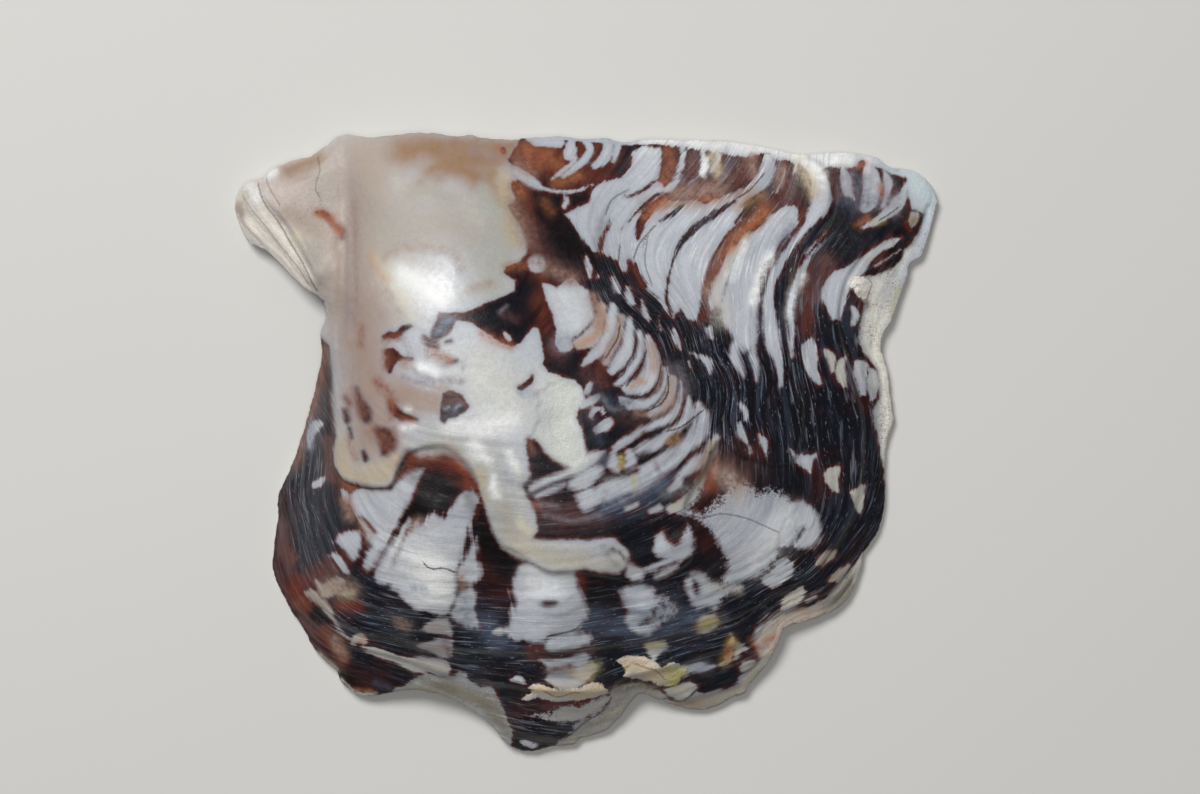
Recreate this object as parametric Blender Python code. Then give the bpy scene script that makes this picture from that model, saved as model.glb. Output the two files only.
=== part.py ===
"""Left valve of a pearl oyster, outer side up, resting on its hinge plate and on the lobes of its rim.

+X runs along the hinge from the ear to the wing, +Y from the ventral rim to the hinge, +Z up.
Places in plan are points of a reference picture, in its pixels, and SCALE turns them into metres.
Heights are in millimetres above the surface that the valve lies on.
"""

import bmesh
import bpy
import numpy as np

MM = 0.001

# Driving sizes
LENGTH = 55.0 * MM
LENGTH_PIXELS = 704
CENTRE_PIXEL = np.array((586.0, 443.0))
SCALE = LENGTH / LENGTH_PIXELS
EDGE_WALL = 0.8
BODY_WALL = 1.25
THINNEST_WALL = 0.64
WALL_GROWS_OVER = 60.0
HINGE_PLATE = 27.0
HINGE_FILLET = 58.0
# Relief keeps this share of its height at the rim, and all of it this far in
RIM_RELIEF = 0.35
RELIEF_GROWS_OVER = 14.0

# Mesh density: the inner face has half as many cells each way as the outer face
CELLS_ALONG = 68
CELLS_DOWN = 52

# Rim, in four runs. A hinge point gives x, y and the height of the outer face there.
HINGE = [
    (234, 208, 1.3), (236, 198, 1.5), (241, 188, 1.8), (249, 181, 2.0), (261, 178, 2.2), (275, 168, 2.3),
    (292, 161, 2.4), (310, 157, 2.5), (325, 147, 2.5), (344, 135, 2.5), (370, 138, 3.0), (390, 137, 3.3),
    (415, 134, 3.6), (440, 135, 3.7), (458, 138, 3.6), (470, 136, 3.5), (485, 139, 3.3), (510, 140, 3.0),
    (545, 137, 2.7), (565, 137, 2.6), (585, 139, 2.5), (605, 138, 2.4), (622, 142, 2.3), (648, 139, 2.2),
    (670, 140, 2.1), (700, 140, 2.0), (733, 142, 1.9), (775, 149, 1.8), (800, 154, 1.7), (840, 152, 1.7),
    (875, 157, 1.6), (892, 167, 1.5), (915, 171, 1.4), (932, 185, 1.2), (938, 200, 1.0),
]
# A rim point gives x, y and how far the rim's underside stands clear of the surface.
RIGHT_RIM = [
    (938, 200, 0.0), (933, 222, 0.0), (927, 243, 0.1), (922, 255, 0.1), (911, 262, 0.2), (908, 275, 0.2),
    (901, 295, 0.2), (892, 320, 0.3), (884, 333, 0.3), (882, 350, 0.3), (888, 370, 0.2), (892, 400, 0.1),
    (895, 420, 0.0), (888, 442, 0.0), (886, 470, 0.0), (886, 500, 0.0), (880, 530, 0.0), (866, 552, 0.0),
    (862, 568, 0.0), (855, 590, 0.0),
]
VENTRAL_RIM = [
    (283, 598, 0.0), (288, 608, 0.0), (302, 628, 0.1), (315, 652, 0.1), (335, 671, 0.1), (341, 683, 0.2),
    (350, 691, 0.3), (360, 696, 0.3), (370, 697, 0.4), (395, 692, 0.9), (415, 690, 1.2), (430, 692, 1.4),
    (447, 697, 1.3), (475, 712, 0.9), (495, 730, 0.5), (503, 741, 0.3), (518, 751, 0.0), (535, 752, 0.0),
    (550, 748, 0.0), (573, 746, 0.0), (580, 740, 0.0), (603, 733, 0.1), (620, 718, 0.4), (634, 698, 0.9),
    (641, 694, 1.0), (652, 697, 0.8), (674, 706, 0.3), (695, 711, 0.0), (712, 709, 0.0), (733, 699, 0.1),
    (745, 694, 0.2), (750, 685, 0.3), (769, 662, 0.6), (781, 638, 0.9), (785, 628, 0.9), (815, 619, 0.4),
    (840, 608, 0.1), (855, 590, 0.0),
]
LEFT_RIM = [
    (234, 208, 0.0), (239, 225, 0.2), (249, 242, 0.6), (266, 250, 0.9), (283, 266, 1.2), (305, 288, 1.5),
    (321, 298, 1.6), (327, 315, 1.6), (321, 335, 1.4), (322, 355, 1.1), (313, 395, 0.7), (303, 430, 0.4),
    (292, 462, 0.1), (280, 488, 0.0), (276, 502, 0.0), (277, 515, 0.0), (273, 545, 0.0), (272, 572, 0.0),
    (283, 598, 0.0),
]

# Height of the outer face at places inside the rim: x, y, millimetres
EAR = [(262, 205, 2.6), (285, 195, 3.1), (300, 215, 3.2), (315, 180, 3.1), (330, 160, 2.9), (322, 250, 3.3)]
CREASE = [(346, 150, 2.8), (346, 200, 3.3), (345, 250, 3.7), (342, 300, 4.3), (338, 345, 4.6)]
BEAK = [
    (375, 160, 4.4), (420, 155, 5.1), (470, 155, 5.0), (520, 160, 4.2), (375, 200, 5.8), (420, 200, 7.6),
    (470, 200, 7.7), (520, 200, 6.2), (560, 200, 4.9),
]
DOME = [
    (372, 260, 7.2), (420, 260, 9.8), (470, 260, 10.3), (520, 260, 8.9), (560, 260, 7.4), (362, 330, 7.2),
    (400, 330, 10.4), (450, 330, 11.7), (500, 330, 11.6), (550, 330, 10.4), (600, 330, 8.9), (352, 400, 7.0),
    (390, 400, 10.2), (440, 400, 11.9), (500, 400, 12.1), (550, 400, 11.5), (600, 400, 10.4), (650, 400, 9.0),
    (360, 470, 8.2), (400, 470, 10.6), (440, 470, 11.5), (500, 470, 11.7), (550, 470, 11.3), (600, 470, 10.3),
    (650, 470, 9.0), (700, 470, 7.5),
]
WING = [
    (600, 170, 3.2), (700, 170, 2.6), (800, 175, 2.1), (600, 260, 6.0), (650, 230, 4.1), (700, 260, 4.4),
    (760, 230, 3.2), (820, 230, 2.6), (880, 210, 2.0), (650, 330, 7.3), (700, 330, 6.1), (750, 330, 5.0),
    (800, 330, 3.9), (850, 330, 2.5), (700, 400, 7.4), (750, 400, 6.0), (800, 400, 4.5), (850, 400, 2.7),
]
FLANK = [
    (318, 430, 3.6), (333, 430, 5.4), (300, 500, 2.7), (325, 500, 5.3), (345, 500, 7.1), (295, 560, 2.4),
    (315, 560, 4.2), (345, 560, 6.6), (330, 620, 2.6),
]
VENTRAL = [
    (380, 540, 8.5), (430, 540, 10.0), (480, 540, 10.2), (540, 540, 10.2), (600, 540, 9.4), (650, 540, 8.3),
    (700, 540, 7.0), (750, 470, 6.1), (800, 470, 4.4), (850, 470, 2.5), (750, 540, 5.4), (800, 540, 3.5),
    (840, 540, 2.1), (370, 610, 5.0), (430, 610, 7.5), (480, 610, 8.0), (540, 610, 8.0), (600, 610, 7.2),
    (650, 610, 6.1), (700, 610, 4.7), (760, 600, 3.1), (365, 660, 2.2), (430, 655, 4.3), (480, 670, 4.6),
    (540, 680, 4.6), (600, 675, 4.0), (650, 655, 3.6), (700, 660, 2.7), (735, 650, 2.3), (530, 720, 2.5),
]

# The broken edge of the young shell, from the notch under the ear, round the bottom and up to the hinge
YOUNG_EDGE = [
    (322, 345), (332, 370), (335, 395), (338, 425), (333, 450), (336, 470), (350, 482), (388, 488), (397, 474),
    (410, 453), (440, 446), (460, 458), (476, 480), (486, 510), (497, 540), (518, 553), (545, 571), (575, 572),
    (612, 578), (640, 583), (665, 577), (688, 563), (696, 540), (684, 508), (706, 467), (721, 440), (740, 456),
    (790, 463), (803, 420), (800, 350), (797, 295), (806, 250), (829, 212), (832, 190), (822, 166), (806, 154),
]
# How high the young shell stands over the later growth, at even steps along its edge
YOUNG_STEP = [0.35, 0.6, 0.6, 0.55, 0.15, 0.35, 0.45, 0.3, 0.3, 0.55, 0.5, 0.35, 0.2, 0.25, 0.3, 0.25]
YOUNG_STEP_FADES_OVER = 130.0
YOUNG_STEP_LOSES = 0.5
# Between two of those steps the height blends over this distance
STATION_BLUR = 20.0
# A ledge drops over this width
LEDGE_RUN = 13.0

# Scale edges of later growth: the height that each stands up, the width it fades over, and its line
SCALE_EDGES = [
    (0.40, 26.0, [
        (290, 520), (303, 575), (328, 612), (362, 632), (405, 641), (450, 648), (500, 652), (550, 652),
        (600, 648), (650, 640), (700, 628), (750, 610), (800, 582), (830, 552), (852, 515), (862, 470),
        (862, 420), (850, 370), (838, 320), (848, 275), (880, 235), (902, 195)]),
    (0.35, 20.0, [
        (282, 570), (302, 610), (335, 640), (375, 652), (420, 664), (452, 676), (500, 684), (545, 690),
        (600, 692), (622, 680), (660, 668), (705, 655), (748, 640), (785, 612), (826, 592), (852, 560)]),
    (0.35, 22.0, [(241, 190), (250, 212), (275, 240), (298, 272), (316, 294)]),
    (0.40, 24.0, [(262, 180), (266, 200), (285, 222), (305, 255), (322, 292)]),
]

# Folds that run out from the beak: height, half width and line. A groove has a negative height.
FOLDS = [
    (0.55, 26.0, [(520, 190), (600, 270), (660, 345), (718, 425)]),
    (-0.45, 9.0, [(347, 140), (347, 220), (343, 300), (336, 350)]),
    (0.55, 24.0, [(425, 470), (430, 540), (428, 600), (415, 650)]),
    (-0.50, 18.0, [(475, 530), (478, 600), (470, 670), (462, 700)]),
    (0.70, 26.0, [(545, 580), (545, 650), (535, 742)]),
    (-0.45, 18.0, [(598, 590), (612, 640), (636, 690)]),
    (0.50, 24.0, [(645, 590), (665, 640), (694, 702)]),
    (-0.40, 20.0, [(705, 560), (745, 600), (780, 628)]),
    (0.40, 26.0, [(760, 520), (805, 560), (845, 592)]),
    (0.35, 18.0, [(362, 520), (350, 600), (352, 680)]),
]

# Lumps of crust and hollows where the outer layer has flaked off: height, half width, centre
LUMPS = [
    (0.55, (10, 10), (858, 287)), (0.40, (34, 9), (565, 690)), (0.45, (30, 13), (648, 668)),
    (0.30, (14, 8), (825, 178)), (-0.30, (24, 40), (562, 425)), (-0.30, (30, 16), (655, 530)),
]

SHELL_COLOUR = (0.34, 0.29, 0.28, 1.0)


def smooth_line(points, per_span=8):
    """A Catmull-Rom curve through the points, which may carry a height as well as a place."""
    p = np.array(points, float)
    p = np.vstack((2 * p[0] - p[1], p, 2 * p[-1] - p[-2]))
    t = np.linspace(0.0, 1.0, per_span, endpoint=False)[:, None]
    runs = []
    for a, b, c, d in zip(p, p[1:], p[2:], p[3:]):
        runs.append(0.5 * (2 * b + (c - a) * t + (2 * a - 5 * b + 4 * c - d) * t**2 + (3 * b - a - 3 * c + d) * t**3))
    return np.vstack((*runs, p[-2]))


def along(line, share):
    """Points at these shares of the line's length."""
    steps = np.linalg.norm(np.diff(line[:, :2], axis=0), axis=1)
    length = np.concatenate(([0.0], np.cumsum(steps)))
    return np.stack([np.interp(share * length[-1], length, column) for column in line.T], axis=-1)


def plan(u, v):
    """The valve's plan as a patch between its four rims: u from ear to wing, v from hinge to ventral rim."""
    top, bottom, left, right = (smooth_line(run)[:, :2] for run in (HINGE, VENTRAL_RIM, LEFT_RIM, RIGHT_RIM))
    across, down = u[:, None], v[:, None]
    corners = (
        (1 - across) * (1 - down) * top[0] + across * (1 - down) * top[-1]
        + (1 - across) * down * bottom[0] + across * down * bottom[-1]
    )
    return (
        (1 - down) * along(top, u) + down * along(bottom, u)
        + (1 - across) * along(left, v) + across * along(right, v) - corners
    )


def nearest(points, line):
    """For each point: its distance to the line, how far along that is, 0 to 1, and whether it is left of it."""
    run = np.diff(line, axis=0)
    span = np.maximum((run**2).sum(1), 1e-9)
    offset = points[:, None] - line[:-1]
    share = np.clip((offset * run).sum(2) / span, 0, 1)
    gaps = np.linalg.norm(offset - share[:, :, None] * run, axis=2)
    best = gaps.argmin(1)
    rows = np.arange(len(points))
    across, down = offset[rows, best].T
    is_left = run[best, 0] * down < run[best, 1] * across
    return gaps[rows, best], (best + share[rows, best]) / len(run), is_left


def inside(points, outline):
    """True where a point lies inside the closed outline."""
    x, y = points[:, :1], points[:, 1:]
    ax, ay = outline[:, 0], outline[:, 1]
    bx, by = np.roll(ax, -1), np.roll(ay, -1)
    level = np.where(by == ay, 1e-9, by - ay)
    crossed = ((ay > y) != (by > y)) & (x < (bx - ax) * (y - ay) / level + ax)
    return crossed.sum(1) % 2 == 1


def smoothstep(value):
    value = np.clip(value, 0, 1)
    return value * value * (3 - 2 * value)


def thin_plate(centres, heights):
    """The smoothest sheet through these heights, as a function of place."""

    def bend(a, b):
        square = ((a[:, None] - b[None]) ** 2).sum(2) / 1e4
        return square * np.log(square + 1e-9)

    count = len(centres)
    flat = np.hstack((np.ones((count, 1)), centres / 100))
    system = np.zeros((count + 3, count + 3))
    system[:count, :count] = bend(centres, centres)
    system[:count, count:] = flat
    system[count:, :count] = flat.T
    weights = np.linalg.solve(system, np.concatenate((heights, np.zeros(3))))

    def height(points):
        return bend(points, centres) @ weights[:count] + np.hstack(
            (np.ones((len(points), 1)), points / 100)
        ) @ weights[count:]

    return height


def outer_sheet():
    rims = [(x, y, lift + EDGE_WALL) for x, y, lift in RIGHT_RIM[1:] + VENTRAL_RIM[:-1] + LEFT_RIM[1:-1]]
    known = np.array(HINGE + rims + EAR + CREASE + BEAK + DOME + WING + FLANK + VENTRAL, float)
    return thin_plate(known[:, :2], known[:, 2])


def young_shell(points):
    """How far each point stands over the later growth because it lies on the young shell."""
    line = smooth_line(YOUNG_EDGE, 4)
    hinge = smooth_line(HINGE, 4)[:, :2]
    over = hinge[hinge[:, 0] < YOUNG_EDGE[-1][0]]
    ear = smooth_line(LEFT_RIM, 4)[:, :2]
    ear = ear[ear[:, 1] < YOUNG_EDGE[0][1]]
    on_it = inside(points, np.vstack((line, over[::-1], ear)))
    gap, _, _ = nearest(points, line)
    stations = along(line, np.linspace(0, 1, len(YOUNG_STEP)))
    weights = (((points[:, None] - stations) ** 2).sum(2) + STATION_BLUR**2) ** -2
    step = weights @ np.array(YOUNG_STEP) / weights.sum(1)
    fade = 1 - YOUNG_STEP_LOSES * smoothstep(gap / YOUNG_STEP_FADES_OVER)
    return step * fade * ledge(np.where(on_it, gap, -gap))


def ledge(signed_gap):
    """0 below a ledge, 1 on top of it, with its face centred on the line."""
    return smoothstep(0.5 + signed_gap / LEDGE_RUN)


def scale_edge(points, height, fades_over, line):
    """A scale's free edge: it stands up along the line and sinks back into the sheet behind it."""
    gap, share, is_left = nearest(points, smooth_line(line, 4))
    ends = smoothstep(share * 8) * smoothstep((1 - share) * 8)
    signed = np.where(is_left, gap, -gap)
    return height * ends * ledge(signed) * np.exp(-np.maximum(signed, 0) / fades_over)


def fold(points, height, half_width, line):
    """A rounded fold along the line, or a groove where the height is negative."""
    gap, share, _ = nearest(points, smooth_line(line, 4))
    ends = smoothstep(share * 5) * smoothstep((1 - share) * 12 + 0.4)
    return height * np.exp(-((gap / half_width) ** 2)) * ends


def lump(points, height, half_width, centre):
    reach = (((points - np.array(centre)) / np.array(half_width)) ** 2).sum(1)
    return height * np.exp(-1.4 * reach)


def relief(points):
    """Folds, scale edges, crust and hollows over the smooth sheet, in millimetres."""
    total = young_shell(points)
    for row in FOLDS:
        total = total + fold(points, *row)
    for row in SCALE_EDGES:
        total = total + scale_edge(points, *row)
    for row in LUMPS:
        total = total + lump(points, *row)
    return total


def valve_points(u, v, is_outer):
    """Where each corner of the two faces lies, in metres."""
    place = plan(u, v)
    sheet = outer_sheet()(place)
    rim = np.vstack([smooth_line(run, 4)[:, :2] for run in (HINGE, RIGHT_RIM, VENTRAL_RIM[::-1], LEFT_RIM[::-1])])
    from_rim, _, _ = nearest(place, rim)
    from_hinge, _, _ = nearest(place, smooth_line(HINGE, 4)[:, :2])
    wall = EDGE_WALL + (BODY_WALL - EDGE_WALL) * smoothstep(from_rim / WALL_GROWS_OVER)
    cavity = np.maximum(sheet - wall, 0) * smoothstep((from_hinge - HINGE_PLATE) / HINGE_FILLET)
    kept = RIM_RELIEF + (1 - RIM_RELIEF) * smoothstep(from_rim / RELIEF_GROWS_OVER)
    outer = np.maximum(sheet, EDGE_WALL) + relief(place) * kept
    outer = np.maximum(outer, cavity + THINNEST_WALL)
    height = np.where(is_outer, outer, cavity)
    flat = (place - CENTRE_PIXEL) * SCALE * np.array((1, -1))
    return np.column_stack((flat, height * MM))


def add_face_grid(mesh, along_cells, down_cells, level):
    """A square sheet of cells from -1 to 1 at this level, and its border edges."""
    made = bmesh.ops.create_grid(mesh, x_segments=along_cells, y_segments=down_cells, size=1.0)["verts"]
    for vertex in made:
        vertex.co.z = level
    return {edge for vertex in made for edge in vertex.link_edges if edge.is_boundary}


def make_shell():
    mesh = bmesh.new()
    outer_border = add_face_grid(mesh, CELLS_ALONG, CELLS_DOWN, 1.0)
    inner_border = add_face_grid(mesh, CELLS_ALONG // 2, CELLS_DOWN // 2, -1.0)
    bmesh.ops.subdivide_edges(mesh, edges=list(inner_border), cuts=1)
    inner_border = {edge for edge in mesh.edges if edge.is_boundary and edge.verts[0].co.z < 0}
    bmesh.ops.bridge_loops(mesh, edges=list(outer_border | inner_border))
    square = np.array([vertex.co[:] for vertex in mesh.verts])
    u, v = (square[:, 0] + 1) / 2, (1 - square[:, 1]) / 2
    for vertex, place in zip(mesh.verts, valve_points(u, v, square[:, 2] > 0)):
        vertex.co = place
    bmesh.ops.recalc_face_normals(mesh, faces=mesh.faces)
    bmesh.ops.triangulate(mesh, faces=mesh.faces)
    data = bpy.data.meshes.new("shell")
    mesh.to_mesh(data)
    mesh.free()
    data.shade_smooth()
    return bpy.data.objects.new("shell", data)


def shell_material():
    material = bpy.data.materials.new("mottled_shell")
    material.use_nodes = True
    surface = material.node_tree.nodes["Principled BSDF"]
    surface.inputs["Base Color"].default_value = SHELL_COLOUR
    surface.inputs["Roughness"].default_value = 0.38
    surface.inputs["Metallic"].default_value = 0.0
    return material


def main():
    for obj in list(bpy.data.objects):
        bpy.data.objects.remove(obj)
    parts = bpy.data.collections.new("pearl_oyster_shell")
    bpy.context.scene.collection.children.link(parts)
    shell = make_shell()
    shell.data.materials.append(shell_material())
    parts.objects.link(shell)


main()
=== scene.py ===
import math

import bmesh
import bpy
import numpy as np
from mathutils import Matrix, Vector, noise


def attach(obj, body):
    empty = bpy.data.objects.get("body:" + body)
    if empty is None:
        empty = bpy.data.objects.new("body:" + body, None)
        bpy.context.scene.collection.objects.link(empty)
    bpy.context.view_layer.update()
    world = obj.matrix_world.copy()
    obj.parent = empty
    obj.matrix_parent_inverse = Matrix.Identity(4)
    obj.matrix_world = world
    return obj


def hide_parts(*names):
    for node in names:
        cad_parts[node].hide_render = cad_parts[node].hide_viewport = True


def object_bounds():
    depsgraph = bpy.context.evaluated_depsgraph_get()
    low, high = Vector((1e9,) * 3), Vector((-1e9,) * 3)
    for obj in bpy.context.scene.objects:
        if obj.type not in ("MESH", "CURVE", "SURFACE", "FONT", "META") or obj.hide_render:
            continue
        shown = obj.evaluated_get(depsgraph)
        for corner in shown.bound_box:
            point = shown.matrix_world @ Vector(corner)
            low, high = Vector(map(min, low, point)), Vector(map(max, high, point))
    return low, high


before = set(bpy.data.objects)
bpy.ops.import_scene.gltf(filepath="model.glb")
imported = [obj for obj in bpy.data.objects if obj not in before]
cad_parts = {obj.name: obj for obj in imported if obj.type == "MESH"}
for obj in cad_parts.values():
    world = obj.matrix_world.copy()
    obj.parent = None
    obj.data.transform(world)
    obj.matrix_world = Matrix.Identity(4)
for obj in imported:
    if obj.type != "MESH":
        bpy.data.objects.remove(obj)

# Places in plan are points of a reference picture, in its pixels, and SCALE turns them into metres.
# Heights and depths are in millimetres, heights above the surface that the valve lies on.

bl_info = {
    "name": "Pearl oyster valve",
    "version": (1, 0, 0),
    "blender": (4, 5, 0),
    "location": "View3D > Sidebar > Shell",
    "description": "Builds the left valve of a pearl oyster and a plain studio round it",
    "category": "Add Mesh",
}

MM = 0.001
BOX_LOW, BOX_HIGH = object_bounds()

# The reference picture: the middle of the valve and of the frame, and how long the valve is in it
CENTRE_PIXEL = np.array((586.0, 443.0))
FRAME_CENTRE_PIXEL = np.array((600.0, 397.0))
FRAME_WIDTH_PIXELS = 1200
LENGTH_PIXELS = 704
LENGTH_MM = 55.0
SCALE = LENGTH_MM * MM / LENGTH_PIXELS
PIXEL_MM = SCALE / MM

# The camera: its lens and sensor in millimetres, the height it is set for and its distance, in metres
FOCAL_LENGTH = 100.0
SENSOR_WIDTH = 36.0
FOCUS_HEIGHT = 0.001
CAMERA_DISTANCE = FRAME_WIDTH_PIXELS * SCALE * FOCAL_LENGTH / SENSOR_WIDTH

# Wall thickness, and how far in from the rim it grows, in pixels
EDGE_WALL = 0.8
BODY_WALL = 1.25
THINNEST_WALL = 0.64
WALL_GROWS_OVER = 60.0

# Width of the hinge plate and of the slope from it down into the hollow, in pixels
HINGE_PLATE = 27.0
HINGE_FILLET = 58.0

# How much of the relief is left at the rim, and over how many pixels it grows to all of it
RIM_RELIEF = 0.35
RELIEF_GROWS_OVER = 14.0

# Mesh density: the inner face has a quarter of the outer face's cells each way
CELLS_ALONG = 320
CELLS_DOWN = 256
INNER_SHARE = 4

VALVE_NAME = "pearl_oyster_valve"
SHARP_ANGLE = 55.0
# The rim's upper and lower edges lie this much further in than its middle, in pixels
RIM_ROUNDING = 1.2

# The fine relief stays this far under the top of the solid, in millimetres
TOP_CLEARANCE = 0.01

# How far from its edge a marking's depth is known, in pixels
REACH = 12.0

# The shell is worn smooth this far from the beak, measured across the growth lines, in pixels
WORN_TO = 120

# Growth ripples: share, and the size of a cell across and along the growth lines, in pixels
RIPPLES = [(1.0, 12, 120), (0.6, 6, 70)]

# Bites out of the rim, in pixels: their middle depth, and depth, cell and level of the noise in them
BITE = 0.5
NIBBLES = [(0.9, 9, 2.0), (0.6, 3.4, 4.0)]
# They fade out this far in from the rim
NIBBLES_REACH = 9

# Rim, in four runs. A hinge point gives x, y and the height of the outer face there.
HINGE = [
    (234, 208, 1.3), (236, 198, 1.5), (241, 188, 1.8), (249, 181, 2.0), (261, 178, 2.2), (275, 168, 2.3),
    (292, 161, 2.4), (310, 157, 2.5), (325, 147, 2.5), (344, 135, 2.5), (370, 138, 3.0), (390, 137, 3.3),
    (415, 134, 3.6), (440, 135, 3.7), (458, 138, 3.6), (470, 136, 3.5), (485, 139, 3.3), (510, 140, 3.0),
    (545, 137, 2.7), (565, 137, 2.6), (585, 139, 2.5), (605, 138, 2.4), (622, 142, 2.3), (648, 139, 2.2),
    (670, 140, 2.1), (700, 140, 2.0), (733, 142, 1.9), (775, 149, 1.8), (800, 154, 1.7), (840, 152, 1.7),
    (875, 157, 1.6), (892, 167, 1.5), (915, 171, 1.4), (932, 185, 1.2), (938, 200, 1.0),
]
# A rim point gives x, y and how far the rim's underside stands clear of the surface.
RIGHT_RIM = [
    (938, 200, 0.0), (933, 222, 0.0), (927, 243, 0.1), (922, 255, 0.1), (911, 262, 0.2), (908, 275, 0.2),
    (901, 295, 0.2), (892, 320, 0.3), (884, 333, 0.3), (882, 350, 0.3), (888, 370, 0.2), (892, 400, 0.1),
    (895, 420, 0.0), (888, 442, 0.0), (886, 470, 0.0), (886, 500, 0.0), (880, 530, 0.0), (866, 552, 0.0),
    (862, 568, 0.0), (855, 590, 0.0),
]
VENTRAL_RIM = [
    (283, 598, 0.0), (288, 608, 0.0), (302, 628, 0.1), (315, 652, 0.1), (335, 671, 0.1), (341, 683, 0.2),
    (350, 691, 0.3), (360, 696, 0.3), (370, 697, 0.4), (395, 692, 0.9), (415, 690, 1.2), (430, 692, 1.4),
    (447, 697, 1.3), (475, 712, 0.9), (495, 730, 0.5), (503, 741, 0.3), (518, 751, 0.0), (535, 752, 0.0),
    (550, 748, 0.0), (573, 746, 0.0), (580, 740, 0.0), (603, 733, 0.1), (620, 718, 0.4), (634, 698, 0.9),
    (641, 694, 1.0), (652, 697, 0.8), (674, 706, 0.3), (695, 711, 0.0), (712, 709, 0.0), (733, 699, 0.1),
    (745, 694, 0.2), (750, 685, 0.3), (769, 662, 0.6), (781, 638, 0.9), (785, 628, 0.9), (815, 619, 0.4),
    (840, 608, 0.1), (855, 590, 0.0),
]
LEFT_RIM = [
    (234, 208, 0.0), (239, 225, 0.2), (249, 242, 0.6), (266, 250, 0.9), (283, 266, 1.2), (305, 288, 1.5),
    (321, 298, 1.6), (327, 315, 1.6), (321, 335, 1.4), (322, 355, 1.1), (313, 395, 0.7), (303, 430, 0.4),
    (292, 462, 0.1), (280, 488, 0.0), (276, 502, 0.0), (277, 515, 0.0), (273, 545, 0.0), (272, 572, 0.0),
    (283, 598, 0.0),
]

# Height of the outer face at places inside the rim: x, y, millimetres
EAR = [(262, 205, 2.6), (285, 195, 3.1), (300, 215, 3.2), (315, 180, 3.1), (330, 160, 2.9), (322, 250, 3.3)]
CREASE = [(346, 150, 2.8), (346, 200, 3.3), (345, 250, 3.7), (342, 300, 4.3), (338, 345, 4.6)]
BEAK = [
    (375, 160, 4.4), (420, 155, 5.1), (470, 155, 5.0), (520, 160, 4.2), (375, 200, 5.8), (420, 200, 7.6),
    (470, 200, 7.7), (520, 200, 6.2), (560, 200, 4.9),
]
DOME = [
    (372, 260, 7.2), (420, 260, 9.8), (470, 260, 10.3), (520, 260, 8.9), (560, 260, 7.4), (362, 330, 7.2),
    (400, 330, 10.4), (450, 330, 11.7), (500, 330, 11.6), (550, 330, 10.4), (600, 330, 8.9),
    (352, 400, 7.0), (390, 400, 10.2), (440, 400, 11.9), (500, 400, 12.1), (550, 400, 11.5),
    (600, 400, 10.4), (650, 400, 9.0), (360, 470, 8.2), (400, 470, 10.6), (440, 470, 11.5),
    (500, 470, 11.7), (550, 470, 11.3), (600, 470, 10.3), (650, 470, 9.0), (700, 470, 7.5),
]
WING = [
    (600, 170, 3.2), (700, 170, 2.6), (800, 175, 2.1), (600, 260, 6.0), (650, 230, 4.1), (700, 260, 4.4),
    (760, 230, 3.2), (820, 230, 2.6), (880, 210, 2.0), (650, 330, 7.3), (700, 330, 6.1), (750, 330, 5.0),
    (800, 330, 3.9), (850, 330, 2.5), (700, 400, 7.4), (750, 400, 6.0), (800, 400, 4.5), (850, 400, 2.7),
]
FLANK = [
    (318, 430, 3.6), (333, 430, 5.4), (300, 500, 2.7), (325, 500, 5.3), (345, 500, 7.1), (295, 560, 2.4),
    (315, 560, 4.2), (345, 560, 6.6), (330, 620, 2.6),
]
VENTRAL = [
    (380, 540, 8.5), (430, 540, 10.0), (480, 540, 10.2), (540, 540, 10.2), (600, 540, 9.4), (650, 540, 8.3),
    (700, 540, 7.0), (750, 470, 6.1), (800, 470, 4.4), (850, 470, 2.5), (750, 540, 5.4), (800, 540, 3.5),
    (840, 540, 2.1), (370, 610, 5.0), (430, 610, 7.5), (480, 610, 8.0), (540, 610, 8.0), (600, 610, 7.2),
    (650, 610, 6.1), (700, 610, 4.7), (760, 600, 3.1), (365, 660, 2.2), (430, 655, 4.3), (480, 670, 4.6),
    (540, 680, 4.6), (600, 675, 4.0), (650, 655, 3.6), (700, 660, 2.7), (735, 650, 2.3), (530, 720, 2.5),
]

# The broken edge of the young shell, from the notch under the ear, round the bottom and up to the hinge
YOUNG_EDGE = [
    (322, 345), (332, 370), (335, 395), (338, 425), (333, 450), (336, 470), (350, 482), (388, 488),
    (397, 474), (410, 453), (440, 446), (460, 458), (476, 480), (486, 510), (497, 540), (518, 553),
    (545, 571), (575, 572), (612, 578), (640, 583), (665, 577), (688, 563), (696, 540), (684, 508),
    (706, 467), (721, 440), (740, 456), (790, 463), (803, 420), (800, 350), (797, 295), (806, 250),
    (829, 212), (832, 190), (822, 166), (806, 154),
]

# How high the young shell stands over the later growth, at even steps along its edge
YOUNG_STEP = [0.35, 0.6, 0.6, 0.55, 0.15, 0.35, 0.45, 0.3, 0.3, 0.55, 0.5, 0.35, 0.2, 0.25, 0.3, 0.25]
# Between two of those steps the height blends over this distance
STATION_BLUR = 20.0
# Behind the edge the young shell loses this share of its height, over this distance
YOUNG_STEP_LOSES = 0.5
YOUNG_STEP_FADES_OVER = 130.0
# The rest of its outline runs outside the valve, as the rim drawn this much larger
BEYOND_RIM = 1.05
# A ledge drops over this width
LEDGE_RUN = 5.0

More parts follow.
